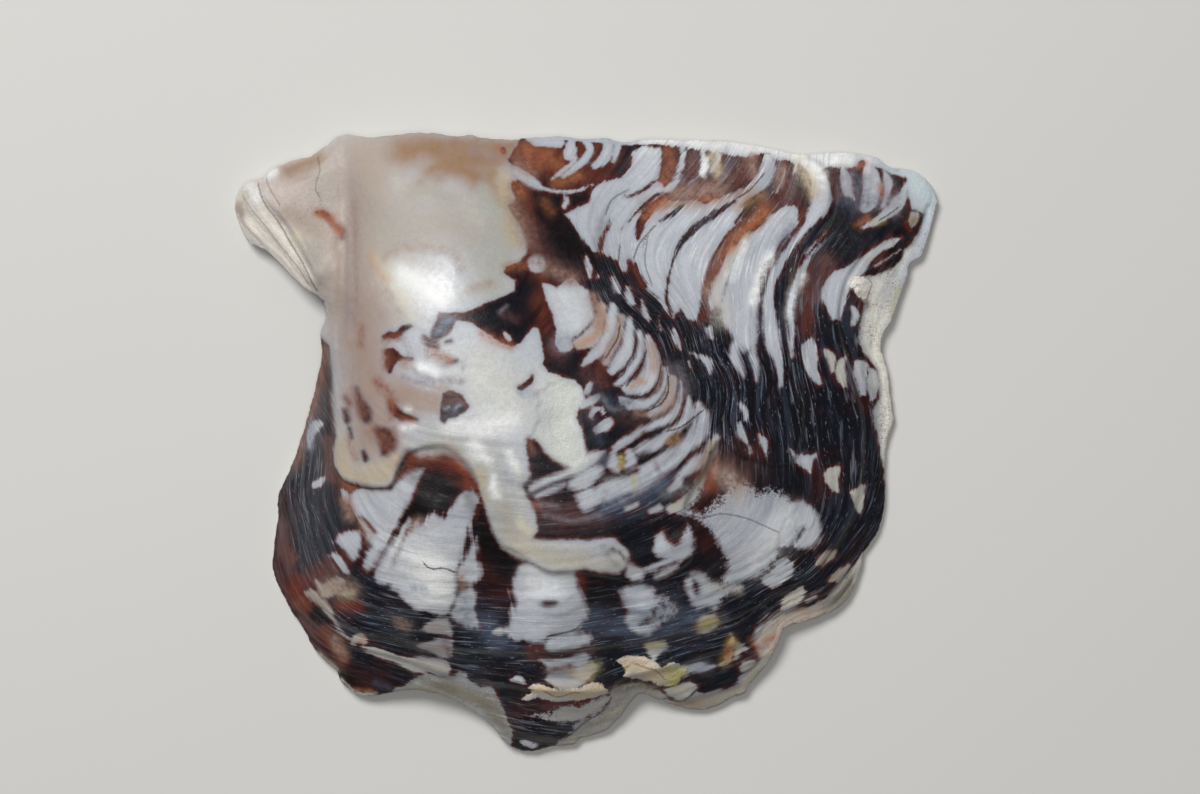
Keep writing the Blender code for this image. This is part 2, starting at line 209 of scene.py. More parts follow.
# Scale edges of later growth: their lines, the height that each stands up and the width it fades over
LAST_SCALE = [
    (290, 520), (303, 575), (328, 612), (362, 632), (405, 641), (450, 648), (500, 652), (550, 652),
    (600, 648), (650, 640), (700, 628), (750, 610), (800, 582), (830, 552), (852, 515), (862, 470),
    (862, 420), (850, 370), (838, 320), (848, 275), (880, 235), (902, 195),
]
LOWEST_SCALE = [
    (282, 570), (302, 610), (335, 640), (375, 652), (420, 664), (452, 676), (500, 684), (545, 690),
    (600, 692), (622, 680), (660, 668), (705, 655), (748, 640), (785, 612), (826, 592), (852, 560),
]
EAR_SCALE = [(241, 190), (250, 212), (275, 240), (298, 272), (316, 294)]
INNER_EAR_SCALE = [(262, 180), (266, 200), (285, 222), (305, 255), (322, 292)]
SCALE_EDGES = [
    (0.4, 26.0, LAST_SCALE),
    (0.35, 20.0, LOWEST_SCALE),
    (0.35, 22.0, EAR_SCALE),
    (0.4, 24.0, INNER_EAR_SCALE),
]

# Folds that run out from the beak: height, half width and line. A groove has a negative height.
FOLDS = [
    (0.55, 26.0, [(520, 190), (600, 270), (660, 345), (718, 425)]),
    (-0.45, 9.0, [(347, 140), (347, 220), (343, 300), (336, 350)]),
    (0.55, 24.0, [(425, 470), (430, 540), (428, 600), (415, 650)]),
    (-0.5, 18.0, [(475, 530), (478, 600), (470, 670), (462, 700)]),
    (0.7, 26.0, [(545, 580), (545, 650), (535, 742)]),
    (-0.45, 18.0, [(598, 590), (612, 640), (636, 690)]),
    (0.5, 24.0, [(645, 590), (665, 640), (694, 702)]),
    (-0.4, 20.0, [(705, 560), (745, 600), (780, 628)]),
    (0.4, 26.0, [(760, 520), (805, 560), (845, 592)]),
    (0.35, 18.0, [(362, 520), (350, 600), (352, 680)]),
]

# Fine ridges and steps that the solid leaves out, in the same form
FINE_FOLDS = [
    (0.05, 4.0, [(383, 270), (398, 257), (418, 252), (432, 256), (447, 258), (456, 272), (452, 288),
        (462, 304)]),
    (0.12, 2.2, [(490, 160), (505, 174), (520, 182), (540, 190), (565, 192), (585, 190), (597, 184)]),
    (0.12, 2.4, [(348, 215), (349, 280), (348, 345)]),
    (-0.1, 2.4, [(353, 200), (355, 270), (354, 335)]),
    (0.08, 2.0, [(341, 225), (340, 280), (338, 320)]),
    (0.16, 2.6, [(336, 300), (334, 360), (335, 400), (337, 440)]),
    (-0.14, 3.0, [(329, 300), (327, 360), (330, 400), (331, 440)]),
    (0.14, 2.6, [(238, 200), (246, 222), (262, 240), (285, 262), (310, 292)]),
    (0.12, 2.6, [(250, 186), (256, 206), (276, 232), (300, 262), (318, 290)]),
    (0.12, 2.6, [(270, 184), (280, 208), (300, 236), (320, 276)]),
]

# Lumps of crust and hollows where the outer layer has flaked off: height, half width, centre
LUMPS = [
    (0.55, (10, 10), (858, 287)), (0.4, (34, 9), (565, 690)), (0.45, (30, 13), (648, 668)),
    (0.3, (14, 8), (825, 178)), (-0.3, (24, 40), (562, 425)), (-0.3, (30, 16), (655, 530)),
]

# Growth lines: how far each lies from the beak, measured across them, and its places
GROWTH_LINES = [
    (0, [(428, 138), (455, 140)]),
    (90, [(480, 140), (490, 200), (480, 250), (440, 270), (400, 255), (375, 215), (362, 160)]),
    (170, [(560, 141), (548, 185), (556, 230), (568, 280), (560, 330), (520, 362), (460, 368), (405, 350),
        (370, 300), (352, 230), (350, 150)]),
    (255, [(640, 146), (610, 185), (590, 225), (604, 270), (640, 320), (660, 365), (645, 405), (600, 440),
        (540, 460), (470, 450), (400, 430), (358, 390), (347, 320)]),
    (315, [(700, 150), (655, 200), (628, 240), (640, 285), (680, 330), (700, 390), (690, 440), (640, 485),
        (570, 512), (500, 510)]),
    (385, [(769, 150), (737, 204), (710, 249), (705, 297), (718, 351), (731, 418)]),
    (425, [(805, 160), (790, 205), (760, 260), (757, 310), (765, 370), (775, 440)]),
    (465, [(828, 160), (828, 205), (800, 255), (793, 310), (800, 370), (815, 450)]),
    (500, LAST_SCALE),
    (540, LOWEST_SCALE),
    (440, [(312, 440), (310, 500), (330, 560), (370, 595), (430, 605), (500, 610), (560, 612), (640, 600)]),
    (210, INNER_EAR_SCALE),
    (225, EAR_SCALE),
]

# Markings, laid one after another: a pale one covers what is under it, and a dark one cuts into it.
# A point with a third number belongs to a streak and gives its half width. A patch has no third number.
MARKS = [
    ("pale", [
        [(225, 215), (225, 170), (340, 122), (522, 128), (517, 145), (508, 160), (518, 178), (511, 188),
         (516, 198), (508, 206), (514, 217), (522, 228), (527, 242), (527, 253), (519, 262), (506, 267),
         (504, 273), (515, 281), (515, 290), (503, 297), (488, 302), (472, 310), (455, 314), (440, 312),
         (436, 318), (470, 322), (500, 342), (470, 452), (438, 452), (420, 453), (410, 450), (403, 456),
         (399, 468), (394, 481), (388, 488), (370, 487), (350, 482), (342, 478), (334, 465), (333, 450),
         (337, 436), (334, 420), (332, 395), (333, 370), (330, 345), (318, 335), (322, 300), (300, 290),
         (240, 240)],
        [(440, 320), (455, 320), (468, 324), (478, 330), (490, 337), (500, 342), (512, 347), (522, 342),
         (527, 335), (533, 328), (539, 336), (541, 350), (543, 365), (548, 372), (556, 374), (563, 378),
         (575, 380), (582, 388), (585, 398), (579, 408), (576, 418), (582, 430), (585, 445), (588, 457),
         (586, 466), (576, 471), (566, 466), (552, 459), (545, 452), (538, 441), (528, 438), (526, 445),
         (527, 455), (530, 463), (533, 470), (528, 478), (522, 486), (526, 495), (532, 505), (536, 515),
         (538, 530), (533, 538), (545, 540), (575, 539), (590, 540), (605, 537), (615, 538), (624, 547),
         (629, 553), (627, 566), (618, 573), (600, 572), (583, 567), (572, 572), (550, 572), (532, 564),
         (515, 556), (500, 546), (491, 528), (486, 510), (482, 498), (478, 484), (472, 472), (463, 461),
         (452, 455), (438, 450)],
    ]),
    ("dark", [
        [(317, 213, 1.6), (324, 214, 3.6), (331, 220, 3), (333, 225, 1.6)],
        [(334, 225, 1.6), (341, 230, 3), (342, 238, 1.5)],
        [(503, 150, 3), (504, 152, 2.5)],
        [(514, 184, 3), (519, 190, 5.5), (523, 197, 4)],
        [(385, 337, 2.6), (390, 335, 3.6), (397, 335, 3.4), (402, 330, 3.2), (407, 327, 3),
         (412, 326, 1.5)],
        [(388, 352, 4), (393, 356, 7), (390, 364, 5), (390, 371, 2.4)],
        [(397, 357, 4), (404, 359, 2.4), (412, 359, 1.8)],
        [(430, 340), (432, 329), (437, 319), (439, 312), (447, 313), (457, 312), (467, 313), (467, 319),
         (457, 318), (454, 326), (450, 333), (444, 337), (437, 341)],
        [(424, 337, 1.6), (432, 342, 2.2), (436, 343, 1.4)],
        [(446, 342, 1.2), (451, 341, 1.8)],
        [(448, 362, 1.8), (456, 361, 2)],
        [(346, 398, 1.5), (350, 403, 2)],
        [(346, 411, 3), (348, 420, 3.5)],
        [(350, 428, 1.5), (352, 438, 1.5)],
        [(357, 388, 1.5), (360, 400, 4), (365, 411, 6.5), (367, 418, 5.5)],
        [(391, 402, 2.5), (395, 410, 5), (402, 416, 4.5), (410, 418, 3), (416, 420, 2)],
        [(377, 430, 3), (386, 437, 9), (388, 446, 7.5), (384, 453, 3)],
        [(364, 452, 2), (366, 459, 3)],
        [(443, 393), (449, 390), (457, 392), (463, 395), (466, 401), (470, 406), (465, 412), (460, 415),
         (455, 418), (448, 418), (445, 424), (441, 421), (440, 412), (441, 403)],
        [(532, 376, 1.5), (530, 382, 3), (521, 388, 3), (518, 387, 1.5)],
        [(526, 439), (536, 439), (540, 450), (548, 457), (556, 463), (567, 467), (555, 473), (542, 476),
         (533, 478), (529, 470), (528, 458)],
        [(517, 150, 3), (528, 147, 4), (545, 151, 5), (560, 155, 4)],
        [(522, 158, 3), (531, 168, 5)],
        [(540, 158, 6), (556, 166, 9), (565, 160, 3)],
    ]),
    ("pale", [
        [(503, 166, 2), (520, 178, 2.5), (534, 186, 2.2), (548, 190, 1.6), (562, 192, 1.4), (578, 191, 1.4),
         (593, 184, 1)],
        [(515, 172, 6), (530, 180, 5), (540, 186, 2)],
        [(535, 142, 4), (560, 143, 5)],
        [(571, 141, 3), (571, 149, 6), (569, 156, 5), (575, 160, 2), (564, 170, 2.2), (552, 179, 1.5)],
        [(586, 140, 3), (590, 149, 3.5), (586, 158, 3.5), (576, 167, 3), (563, 177, 2.2)],
        [(606, 139, 4), (608, 150, 5.5), (603, 160, 5), (594, 166, 3)],
        [(618, 142, 4), (617, 152, 3.5), (613, 162, 1.5)],
        [(530, 136, 5), (580, 137, 3), (620, 141, 3), (660, 140, 4), (700, 142, 4.5), (733, 144, 5),
         (775, 151, 4), (800, 157, 4), (830, 158, 6), (850, 158, 5), (875, 161, 4.5), (893, 171, 4),
         (915, 176, 5), (926, 188, 9), (925, 200, 10), (930, 210, 5)],
        [(565, 215), (576, 209), (590, 203), (593, 188), (605, 181), (621, 178), (631, 167), (633, 152),
         (642, 146), (661, 148), (661, 162), (657, 178), (664, 187), (674, 178), (679, 165), (681, 146),
         (686, 146), (685, 168), (678, 182), (668, 196), (662, 202), (688, 200), (705, 203), (720, 198),
         (735, 192), (752, 181), (762, 166), (764, 154), (772, 154), (772, 170), (765, 186), (752, 196),
         (742, 204), (748, 232), (736, 258), (727, 282), (722, 300), (712, 310), (705, 300), (702, 296),
         (699, 312), (695, 322), (688, 318), (680, 308), (673, 318), (665, 312), (658, 298), (646, 290),
         (638, 278), (634, 262), (629, 258), (626, 272), (622, 270), (618, 262), (612, 258), (600, 252),
         (592, 251), (585, 243), (577, 230), (570, 220)],
    ]),
    ("dark", [
        [(657, 180, 2), (648, 187, 2.5), (638, 193, 1.5), (626, 197, 0.6)],
        [(664, 193, 1), (654, 197, 2), (643, 206, 2.4), (634, 213, 2), (627, 222, 1.2), (622, 230, 0.6)],
        [(684, 188, 2), (668, 196, 3), (655, 204, 3.5), (647, 212, 5), (641, 224, 4.5), (638, 237, 2.5)],
        [(635, 265, 2), (637, 276, 4.5), (643, 286, 4)],
        [(610, 219, 1), (606, 230, 2.5), (601, 243, 3), (600, 254, 2)],
        [(628, 262, 2), (631, 272, 1.5)],
        [(735, 201, 1), (722, 209, 2.6), (708, 219, 4), (697, 227, 4), (688, 236, 3), (680, 246, 1.8),
         (674, 258, 1.3), (670, 272, 1.2), (667, 287, 1), (667, 302, 1.6), (672, 316, 2)],
        [(683, 205, 0.5), (672, 214, 2), (660, 221, 1)],
        [(688, 168, 3), (682, 182, 4), (671, 195, 2)],
        [(745, 222, 3), (733, 234, 4.5), (722, 250, 5.5), (714, 268, 6), (708, 285, 4.5), (704, 302, 3.5),
         (703, 318, 3)],
        [(757, 200, 3), (746, 212, 3), (736, 222, 2)],
        [(662, 147), (680, 147), (680, 163), (673, 178), (665, 186), (657, 182), (661, 168), (664, 158)],
        [(686, 148), (745, 152), (762, 156), (760, 172), (748, 184), (722, 196), (700, 201), (684, 197),
         (676, 192), (684, 178)],
    ]),
    ("pale", [
        [(703, 150, 1.5), (704, 165, 4), (702, 172, 2)],
        [(715, 150, 2), (718, 158, 3), (712, 170, 2)],
        [(682, 150, 1), (681, 164, 1.6), (674, 178, 1.6), (664, 188, 1)],
        [(797, 205), (784, 207), (770, 215), (762, 225), (750, 233), (742, 245), (735, 260), (729, 275),
         (724, 290), (720, 305), (722, 322), (730, 335), (738, 345), (748, 350), (755, 345), (757, 330),
         (756, 318), (759, 305), (760, 290), (765, 275), (772, 262), (778, 250), (785, 240), (793, 232),
         (798, 224), (797, 214)],
        [(772, 156, 2), (770, 172, 4), (760, 186, 5), (748, 196, 3)],
    ]),
    ("dark", [
        [(780, 162, 4), (776, 178, 5), (768, 192, 4), (752, 204, 4)],
        [(792, 165, 5), (790, 180, 9), (785, 195, 7), (768, 208, 6), (758, 218, 5), (742, 230, 5),
         (733, 242, 4)],
    ]),
    ("pale", [
        [(784, 168, 1), (783, 180, 1.3), (776, 193, 1)],
        [(797, 166, 2), (795, 178, 1.5)],
        [(806, 162, 5), (816, 170, 9), (822, 182, 10), (823, 197, 10), (816, 212, 8), (805, 227, 4.5),
         (793, 244, 3.6), (783, 259, 3.6), (775, 273, 3.8), (770, 287, 4), (768, 301, 5), (770, 316, 6),
         (771, 331, 7), (773, 346, 6), (777, 358, 4), (780, 372, 2.6), (781, 386, 1)],
    ]),
    ("dark", [
        [(805, 192, 1), (802, 208, 2.4), (802, 221, 3), (793, 232, 2.4), (783, 243, 3), (776, 255, 3),
         (767, 268, 3), (762, 281, 2.6), (761, 296, 1.6), (759, 310, 2), (757, 322, 2.2), (757, 338, 1)],
    ]),
    ("pale", [
        [(820, 243, 1), (812, 252, 1.8), (806, 262, 2.2), (800, 273, 3.6), (795, 286, 4), (792, 300, 3),
         (791, 315, 3.4), (792, 330, 3.4), (791, 345, 2), (792, 358, 1)],
        [(826, 232, 0.8), (816, 244, 1), (806, 254, 1)],
        [(802, 345), (812, 335), (817, 348), (818, 360), (817, 370), (822, 383), (819, 386), (812, 378),
         (806, 370), (802, 358)],
        [(827, 351, 2), (831, 357, 4), (832, 366, 2.5), (832, 372, 1)],
        [(845, 357, 1), (840, 366, 3.6), (840, 377, 4), (844, 386, 1.5)],
        [(855, 362), (863, 360), (868, 364), (866, 380), (866, 396), (860, 397), (857, 385), (854, 372)],
        [(869, 366), (877, 372), (879, 385), (876, 398), (870, 401), (868, 385)],
        [(826, 280), (835, 271), (848, 267), (858, 260), (870, 252), (880, 245), (892, 237), (902, 238),
         (893, 247), (880, 253), (871, 261), (866, 270), (858, 278), (850, 287), (845, 300), (841, 312),
         (839, 320), (832, 320), (828, 312), (822, 300), (822, 288)],
        [(900, 250, 1), (888, 258, 1.5), (876, 266, 1.5)],
        [(853, 308, 1.5), (856, 316, 2.5), (853, 324, 1)],
        [(742, 350, 2), (736, 342, 4), (735, 356, 5), (741, 368, 3), (744, 376, 1)],
        [(752, 340, 2), (753, 352, 3), (756, 366, 2), (756, 380, 1)],
        [(740, 404, 1.5), (745, 412, 3), (744, 420, 2)],
        [(740, 424, 2.4), (741, 434, 4), (745, 442, 1.6)],
        [(758, 433), (768, 439), (767, 450), (765, 457), (762, 450), (759, 441)],
        [(751, 447, 1.2), (751, 453, 1.6)],
        [(790, 449), (797, 455), (806, 456), (816, 454), (812, 464), (810, 472), (803, 467), (796, 464)],
        [(828, 468), (836, 465), (841, 467), (838, 478), (838, 492), (832, 490), (825, 482), (824, 474)],
        [(850, 492), (858, 487), (865, 483), (864, 495), (863, 508), (860, 514), (855, 505)],
    ]),
    ("dark", [
        [(828, 170, 4), (834, 182, 6), (838, 196, 6)],
    ]),
    ("pale", [
        [(650, 128), (700, 128), (775, 140), (800, 145), (850, 142), (880, 148), (910, 158), (902, 172),
         (884, 171), (878, 166), (868, 166), (862, 164), (852, 168), (822, 168), (812, 160), (800, 165),
         (775, 158), (768, 153), (745, 157), (725, 154), (700, 150), (680, 147), (655, 144)],
        [(900, 160), (925, 164), (940, 180), (946, 200), (942, 216), (926, 212), (912, 209), (907, 196),
         (905, 181), (897, 172)],
        [(842, 168, 2.5), (846, 180, 5.5), (848, 191, 5), (854, 199, 2.5)],
        [(868, 167, 4), (871, 178, 8), (871, 190, 9), (868, 203, 7.5), (862, 210, 3)],
        [(884, 171, 2), (888, 182, 5), (884, 195, 4.5), (883, 205, 2.5)],
        [(906, 182, 3), (902, 195, 6), (897, 206, 7.5), (887, 214, 5), (875, 222, 3), (861, 228, 1.2)],
    ]),
    ("dark", [
        [(862, 163, 4), (859, 172, 3), (860, 190, 1.6)],
        [(878, 169, 1), (882, 181, 2), (882, 194, 2.6), (879, 205, 2), (870, 214, 2.4), (858, 217, 2.4)],
        [(903, 180, 2.6), (897, 189, 3.4), (890, 198, 2.6), (888, 206, 1)],
    ]),
    ("pale", [
        [(565, 196, 1), (567, 202, 2.4), (564, 207, 2.4)],
        [(537, 264, 9), (538, 265, 8)],
        [(586, 258, 1), (589, 268, 2.6), (590, 277, 1)],
        [(598, 276, 1.5), (598, 278, 1)],
        [(612, 278, 1.5), (617, 289, 2.8), (619, 293, 1)],
        [(627, 287, 2), (630, 297, 4), (633, 303, 2)],
        [(641, 301, 1), (645, 311, 2.8), (649, 320, 1)],
        [(658, 317, 0.8), (661, 330, 1.2)],
        [(673, 331, 1.5), (676, 341, 2.6), (680, 349, 1.2)],
        [(709, 329, 3), (711, 337, 1.6)],
        [(690, 352, 1), (700, 357, 3), (708, 362, 4), (710, 372, 1.5)],
        [(689, 362, 1), (690, 368, 0.8)],
        [(542, 283), (550, 284), (557, 288), (566, 280), (572, 277), (580, 285), (588, 290), (592, 303),
         (595, 318), (588, 325), (580, 333), (571, 339), (574, 347), (570, 351), (560, 352), (555, 345),
         (556, 330), (553, 315), (546, 300)],
        [(536, 331, 3), (537, 345, 5), (540, 360, 4)],
        [(505, 334, 2), (509, 339, 2.5)],
        [(613, 306, 3), (612, 320, 7), (608, 335, 6), (601, 349, 6), (590, 358, 4.5), (583, 365, 2)],
        [(599, 302), (606, 306), (605, 320), (603, 332), (600, 342), (590, 348), (577, 350), (572, 342),
         (584, 333), (593, 324), (597, 314)],
        [(629, 320, 3), (629, 334, 5), (627, 348, 6.5), (620, 361, 7), (612, 371, 4)],
        [(622, 318, 3), (618, 336, 4), (610, 350, 4), (605, 362, 3)],
        [(648, 338, 3), (652, 352, 6), (652, 370, 9), (644, 384, 9), (632, 388, 7), (624, 388, 3)],
        [(639, 332, 1.5), (641, 345, 3.2), (639, 357, 3.6), (631, 369, 3.6), (622, 380, 4), (615, 384, 2)],
        [(664, 368, 2.4), (665, 380, 3), (660, 392, 3.4), (652, 400, 4), (640, 405, 5), (628, 403, 5.6),
         (620, 398, 2)],
        [(672, 380, 4.5), (670, 394, 5.5), (663, 405, 5), (650, 414, 3)],
        [(681, 382, 1.6), (680, 396, 2.8), (676, 410, 4), (668, 419, 4), (656, 424, 3.6), (645, 429, 2)],
        [(688, 398, 1.6), (690, 410, 5), (686, 420, 4), (676, 428, 3.6), (666, 435, 4), (656, 443, 6),
         (645, 448, 5.6), (637, 451, 2.4)],
        [(698, 405, 3), (703, 416, 5.5), (700, 430, 8), (690, 442, 7.5), (679, 452, 8), (667, 461, 9),
         (653, 470, 9.5), (639, 479, 10.5), (624, 487, 10.5), (610, 491, 11), (600, 494, 8)],
        [(704, 455, 4), (697, 462, 6), (688, 469, 5.5), (680, 476, 3), (678, 484, 4.6), (671, 490, 2)],
        [(590, 384, 2.6), (588, 391, 3.4)],
        [(581, 406, 3), (590, 401, 4.5), (598, 396, 3)],
        [(597, 430, 3), (604, 426, 5), (609, 422, 4)],
        [(591, 418, 2), (593, 411, 3), (598, 408, 2)],
        [(602, 408, 1), (603, 413, 2.4)],
        [(615, 448, 3), (623, 442, 4.4), (632, 437, 3.4), (641, 430, 2.4), (651, 425, 1.4)],
    ]),
    ("dark", [
        [(633, 460, 3), (645, 457, 5.5), (655, 453, 3)],
        [(610, 474, 3), (624, 474, 4.5), (636, 470, 4)],
        [(606, 506, 2), (622, 498, 2.5), (642, 492, 2.5), (660, 482, 3), (674, 470, 2.5)],
    ]),
    ("pale", [
        [(614, 455, 4), (613, 464, 5.6), (617, 470, 3)],
        [(629, 452, 4), (631, 461, 5), (626, 467, 2.4)],
        [(573, 484, 5), (583, 482, 9), (592, 475, 7), (599, 470, 5)],
        [(580, 497, 5), (590, 496, 9), (586, 505, 7), (600, 495, 8)],
        [(532, 488, 3), (549, 480, 4), (565, 474, 3.4), (580, 467, 5), (591, 459, 6.5), (602, 453, 3)],
        [(536, 497, 1.4), (550, 490, 2.6), (564, 484, 1.6)],
        [(627, 509, 2.4), (637, 505, 2)],
        [(651, 511, 2), (660, 507, 2.6)],
        [(717, 438, 3), (711, 446, 4), (704, 450, 1)],
        [(718, 442, 1.4), (712, 456, 1.6), (705, 471, 1.8), (699, 483, 3.6), (691, 496, 4.4),
         (680, 506, 5.4), (671, 509, 4)],
        [(350, 495), (358, 489), (372, 490), (390, 490), (398, 481), (408, 474), (423, 469), (470, 488),
         (479, 498), (477, 510), (473, 522), (469, 538), (465, 552), (459, 566), (456, 572), (457, 585),
         (455, 600), (450, 612), (445, 616), (435, 614), (425, 610), (415, 609), (408, 603), (400, 597),
         (397, 590), (393, 590), (390, 583), (385, 584), (378, 582), (375, 577), (376, 570), (380, 563),
         (374, 566), (368, 571), (362, 568), (367, 556), (371, 547), (364, 540), (366, 532), (358, 520),
         (354, 510), (350, 503)],
        [(334, 541), (340, 535), (350, 531), (360, 530), (363, 537), (360, 545), (358, 555), (355, 561),
         (350, 558), (345, 550), (338, 545)],
        [(329, 555), (336, 553), (342, 557), (347, 565), (350, 573), (344, 572), (337, 563)],
        [(476, 537), (478, 546), (476, 556), (479, 565), (481, 573), (478, 582), (470, 586), (460, 582),
         (456, 572), (462, 562), (468, 552), (473, 544)],
        [(456, 600), (460, 592), (470, 587), (477, 593), (475, 610), (478, 622), (481, 628), (466, 627),
         (456, 621), (450, 613)],
    ]),
    ("dark", [
        [(422, 473), (426, 464), (436, 458), (450, 460), (462, 468), (472, 482), (474, 492), (466, 491),
         (460, 495), (455, 503), (449, 511), (443, 519), (438, 515), (432, 513), (428, 518), (420, 523),
         (414, 519), (409, 518), (402, 527), (396, 536), (393, 532), (397, 525), (401, 516), (406, 508),
         (411, 500), (414, 492), (417, 483)],
        [(409, 453, 3.5), (404, 464, 4.5), (400, 475, 3.5)],
        [(395, 532, 2.4), (388, 545, 1.4), (381, 557, 1.8), (375, 568, 1.4)],
        [(479, 506, 3), (475, 521, 3.6), (470, 536, 2.8), (466, 546, 2), (463, 556, 1)],
        [(357, 516, 1), (366, 523, 1.5), (374, 532, 1)],
    ]),
    ("pale", [
        [(342, 490, 1.5), (346, 496, 3), (348, 503, 1.5)],
        [(421, 628), (428, 621), (438, 618), (447, 619), (452, 625), (453, 637), (440, 633), (428, 631)],
        [(417, 645), (428, 640), (440, 637), (453, 640), (452, 656), (443, 657), (434, 652), (424, 649)],
        [(519, 566), (530, 562), (545, 570), (560, 573), (574, 571), (577, 585), (583, 597), (587, 608),
         (588, 618), (585, 622), (575, 628), (566, 632), (550, 634), (545, 640), (535, 642), (520, 640),
         (508, 636), (510, 625), (512, 610), (516, 600), (512, 592), (514, 580)],
    ]),
    ("dark", [
        [(540, 603, 0.8), (549, 603, 3.4), (558, 602, 0.8)],
    ]),
    ("pale", [
        [(494, 632, 1), (503, 630, 3), (513, 631, 3)],
        [(548, 638), (560, 634), (572, 631), (580, 634), (590, 633), (592, 639), (584, 645), (575, 648),
         (562, 650), (550, 652), (546, 647)],
        [(539, 658), (550, 659), (562, 658), (575, 655), (585, 652), (590, 657), (583, 665), (577, 667),
         (570, 664), (560, 667), (548, 668), (543, 663)],
        [(548, 672), (560, 670), (574, 669), (582, 665), (592, 663), (598, 668), (590, 676), (582, 684),
         (570, 690), (555, 686), (546, 679)],
        [(619, 590), (628, 587), (642, 585), (652, 588), (656, 597), (665, 597), (672, 603), (675, 610),
         (668, 616), (664, 622), (655, 628), (650, 634), (640, 635), (632, 630), (625, 622), (628, 610),
         (622, 600)],
    ]),
    ("dark", [
        [(656, 608, 0.6), (651, 618, 1.4), (640, 624, 0.8)],
        [(660, 600, 1), (664, 608, 1.6), (662, 616, 1)],
    ]),
    ("pale", [
        [(685, 580), (692, 573), (700, 571), (708, 577), (713, 585), (722, 587), (735, 583), (743, 587),
         (731, 592), (721, 600), (716, 609), (706, 606), (697, 608), (690, 602), (687, 590)],
    ]),
    ("dark", [
        [(694, 580, 1.6), (696, 587, 3.8), (697, 592, 2)],
    ]),
    ("pale", [
        [(702, 520), (708, 510), (720, 500), (735, 487), (745, 483), (752, 488), (760, 495), (772, 490),
         (780, 492), (790, 500), (803, 502), (812, 507), (818, 515), (820, 530), (818, 540), (812, 547),
         (805, 549), (797, 548), (790, 545), (780, 546), (776, 552), (775, 560), (768, 567), (760, 575),
         (750, 579), (735, 583), (726, 588), (724, 578), (727, 570), (727, 560), (722, 548), (716, 538),
         (708, 527)],
        [(680, 512, 0.8), (690, 514, 1.2), (702, 518, 1.6)],
    ]),
    ("dark", [
        [(802, 528, 1.2), (799, 534, 2.4), (797, 539, 1)],
    ]),
    ("pale", [
        [(776, 560), (786, 557), (794, 562), (794, 570), (788, 578), (780, 586), (772, 588), (764, 583),
         (762, 578), (770, 572), (774, 566)],
        [(656, 536), (663, 531), (666, 540), (672, 546), (680, 543), (684, 535), (688, 524), (692, 532),
         (694, 543), (690, 555), (680, 560), (665, 560), (655, 555), (653, 548)],
        [(627, 562), (637, 566), (645, 570), (642, 580), (632, 581), (626, 575)],
        [(640, 572, 2), (651, 568, 2.6), (665, 562, 3), (676, 558, 1.4)],
        [(656, 577, 1.4), (667, 572, 2.4), (677, 567, 1.6)],
        [(363, 648), (375, 647), (388, 652), (400, 656), (415, 656), (430, 657), (445, 659), (450, 665),
         (451, 673), (446, 677), (437, 675), (430, 672), (415, 672), (405, 667), (395, 662), (380, 658)],
        [(304, 592), (310, 589), (318, 592), (320, 598), (326, 600), (332, 608), (336, 621), (330, 616),
         (322, 606), (312, 600)],
        [(315, 580), (322, 584), (334, 578), (345, 580), (340, 592), (330, 597), (322, 597), (318, 588)],
        [(354, 641, 3.6), (361, 638, 5.4), (364, 643, 3)],
        [(309, 424), (316, 420), (323, 423), (318, 432), (312, 440), (308, 452), (306, 440)],
        [(315, 485, 3), (319, 483, 3.6), (324, 478, 1.4)],
        [(335, 622, 0.8), (342, 632, 1.2), (352, 640, 1)],
        [(533, 714), (545, 714), (556, 710), (562, 706), (572, 706), (580, 708), (592, 702), (602, 696),
         (610, 697), (606, 706), (598, 713), (586, 718), (574, 721), (562, 722), (550, 719)],
        [(524, 741, 2), (530, 744, 4), (536, 745, 2.6)],
        [(512, 679, 2), (519, 679, 4), (524, 681, 2)],
        [(643, 643), (650, 640), (664, 640), (668, 645), (661, 650), (657, 656), (654, 662), (649, 655),
         (646, 648)],
        [(674, 664), (690, 665), (700, 662), (714, 666), (705, 670), (690, 672), (680, 677)],
        [(662, 688), (675, 685), (690, 681), (698, 687), (690, 697), (680, 702), (670, 697)],
        [(735, 642), (744, 645), (751, 650), (742, 652), (736, 660), (733, 655)],
        [(732, 637, 2.4), (731, 649, 3.8), (727, 660, 3), (722, 665, 1.6)],
        [(697, 622), (702, 616), (714, 614), (718, 620), (716, 627), (706, 632), (699, 632)],
        [(742, 662), (752, 660), (758, 662), (752, 668), (742, 672), (740, 668)],
        [(816, 560), (820, 555), (828, 551), (836, 551), (834, 558), (826, 561), (822, 566), (817, 564)],
        [(849, 567, 2), (841, 573, 4), (834, 578, 3.6), (830, 580, 1.6)],
        [(781, 603), (787, 595), (795, 590), (802, 586), (806, 592), (803, 600), (795, 606), (788, 610),
         (781, 610)],
        [(807, 601, 2.4), (815, 596, 2)],
        [(819, 605, 2.4), (829, 600, 2)],
        [(911, 212), (918, 214), (916, 225), (911, 229), (909, 221)],
    ]),
]

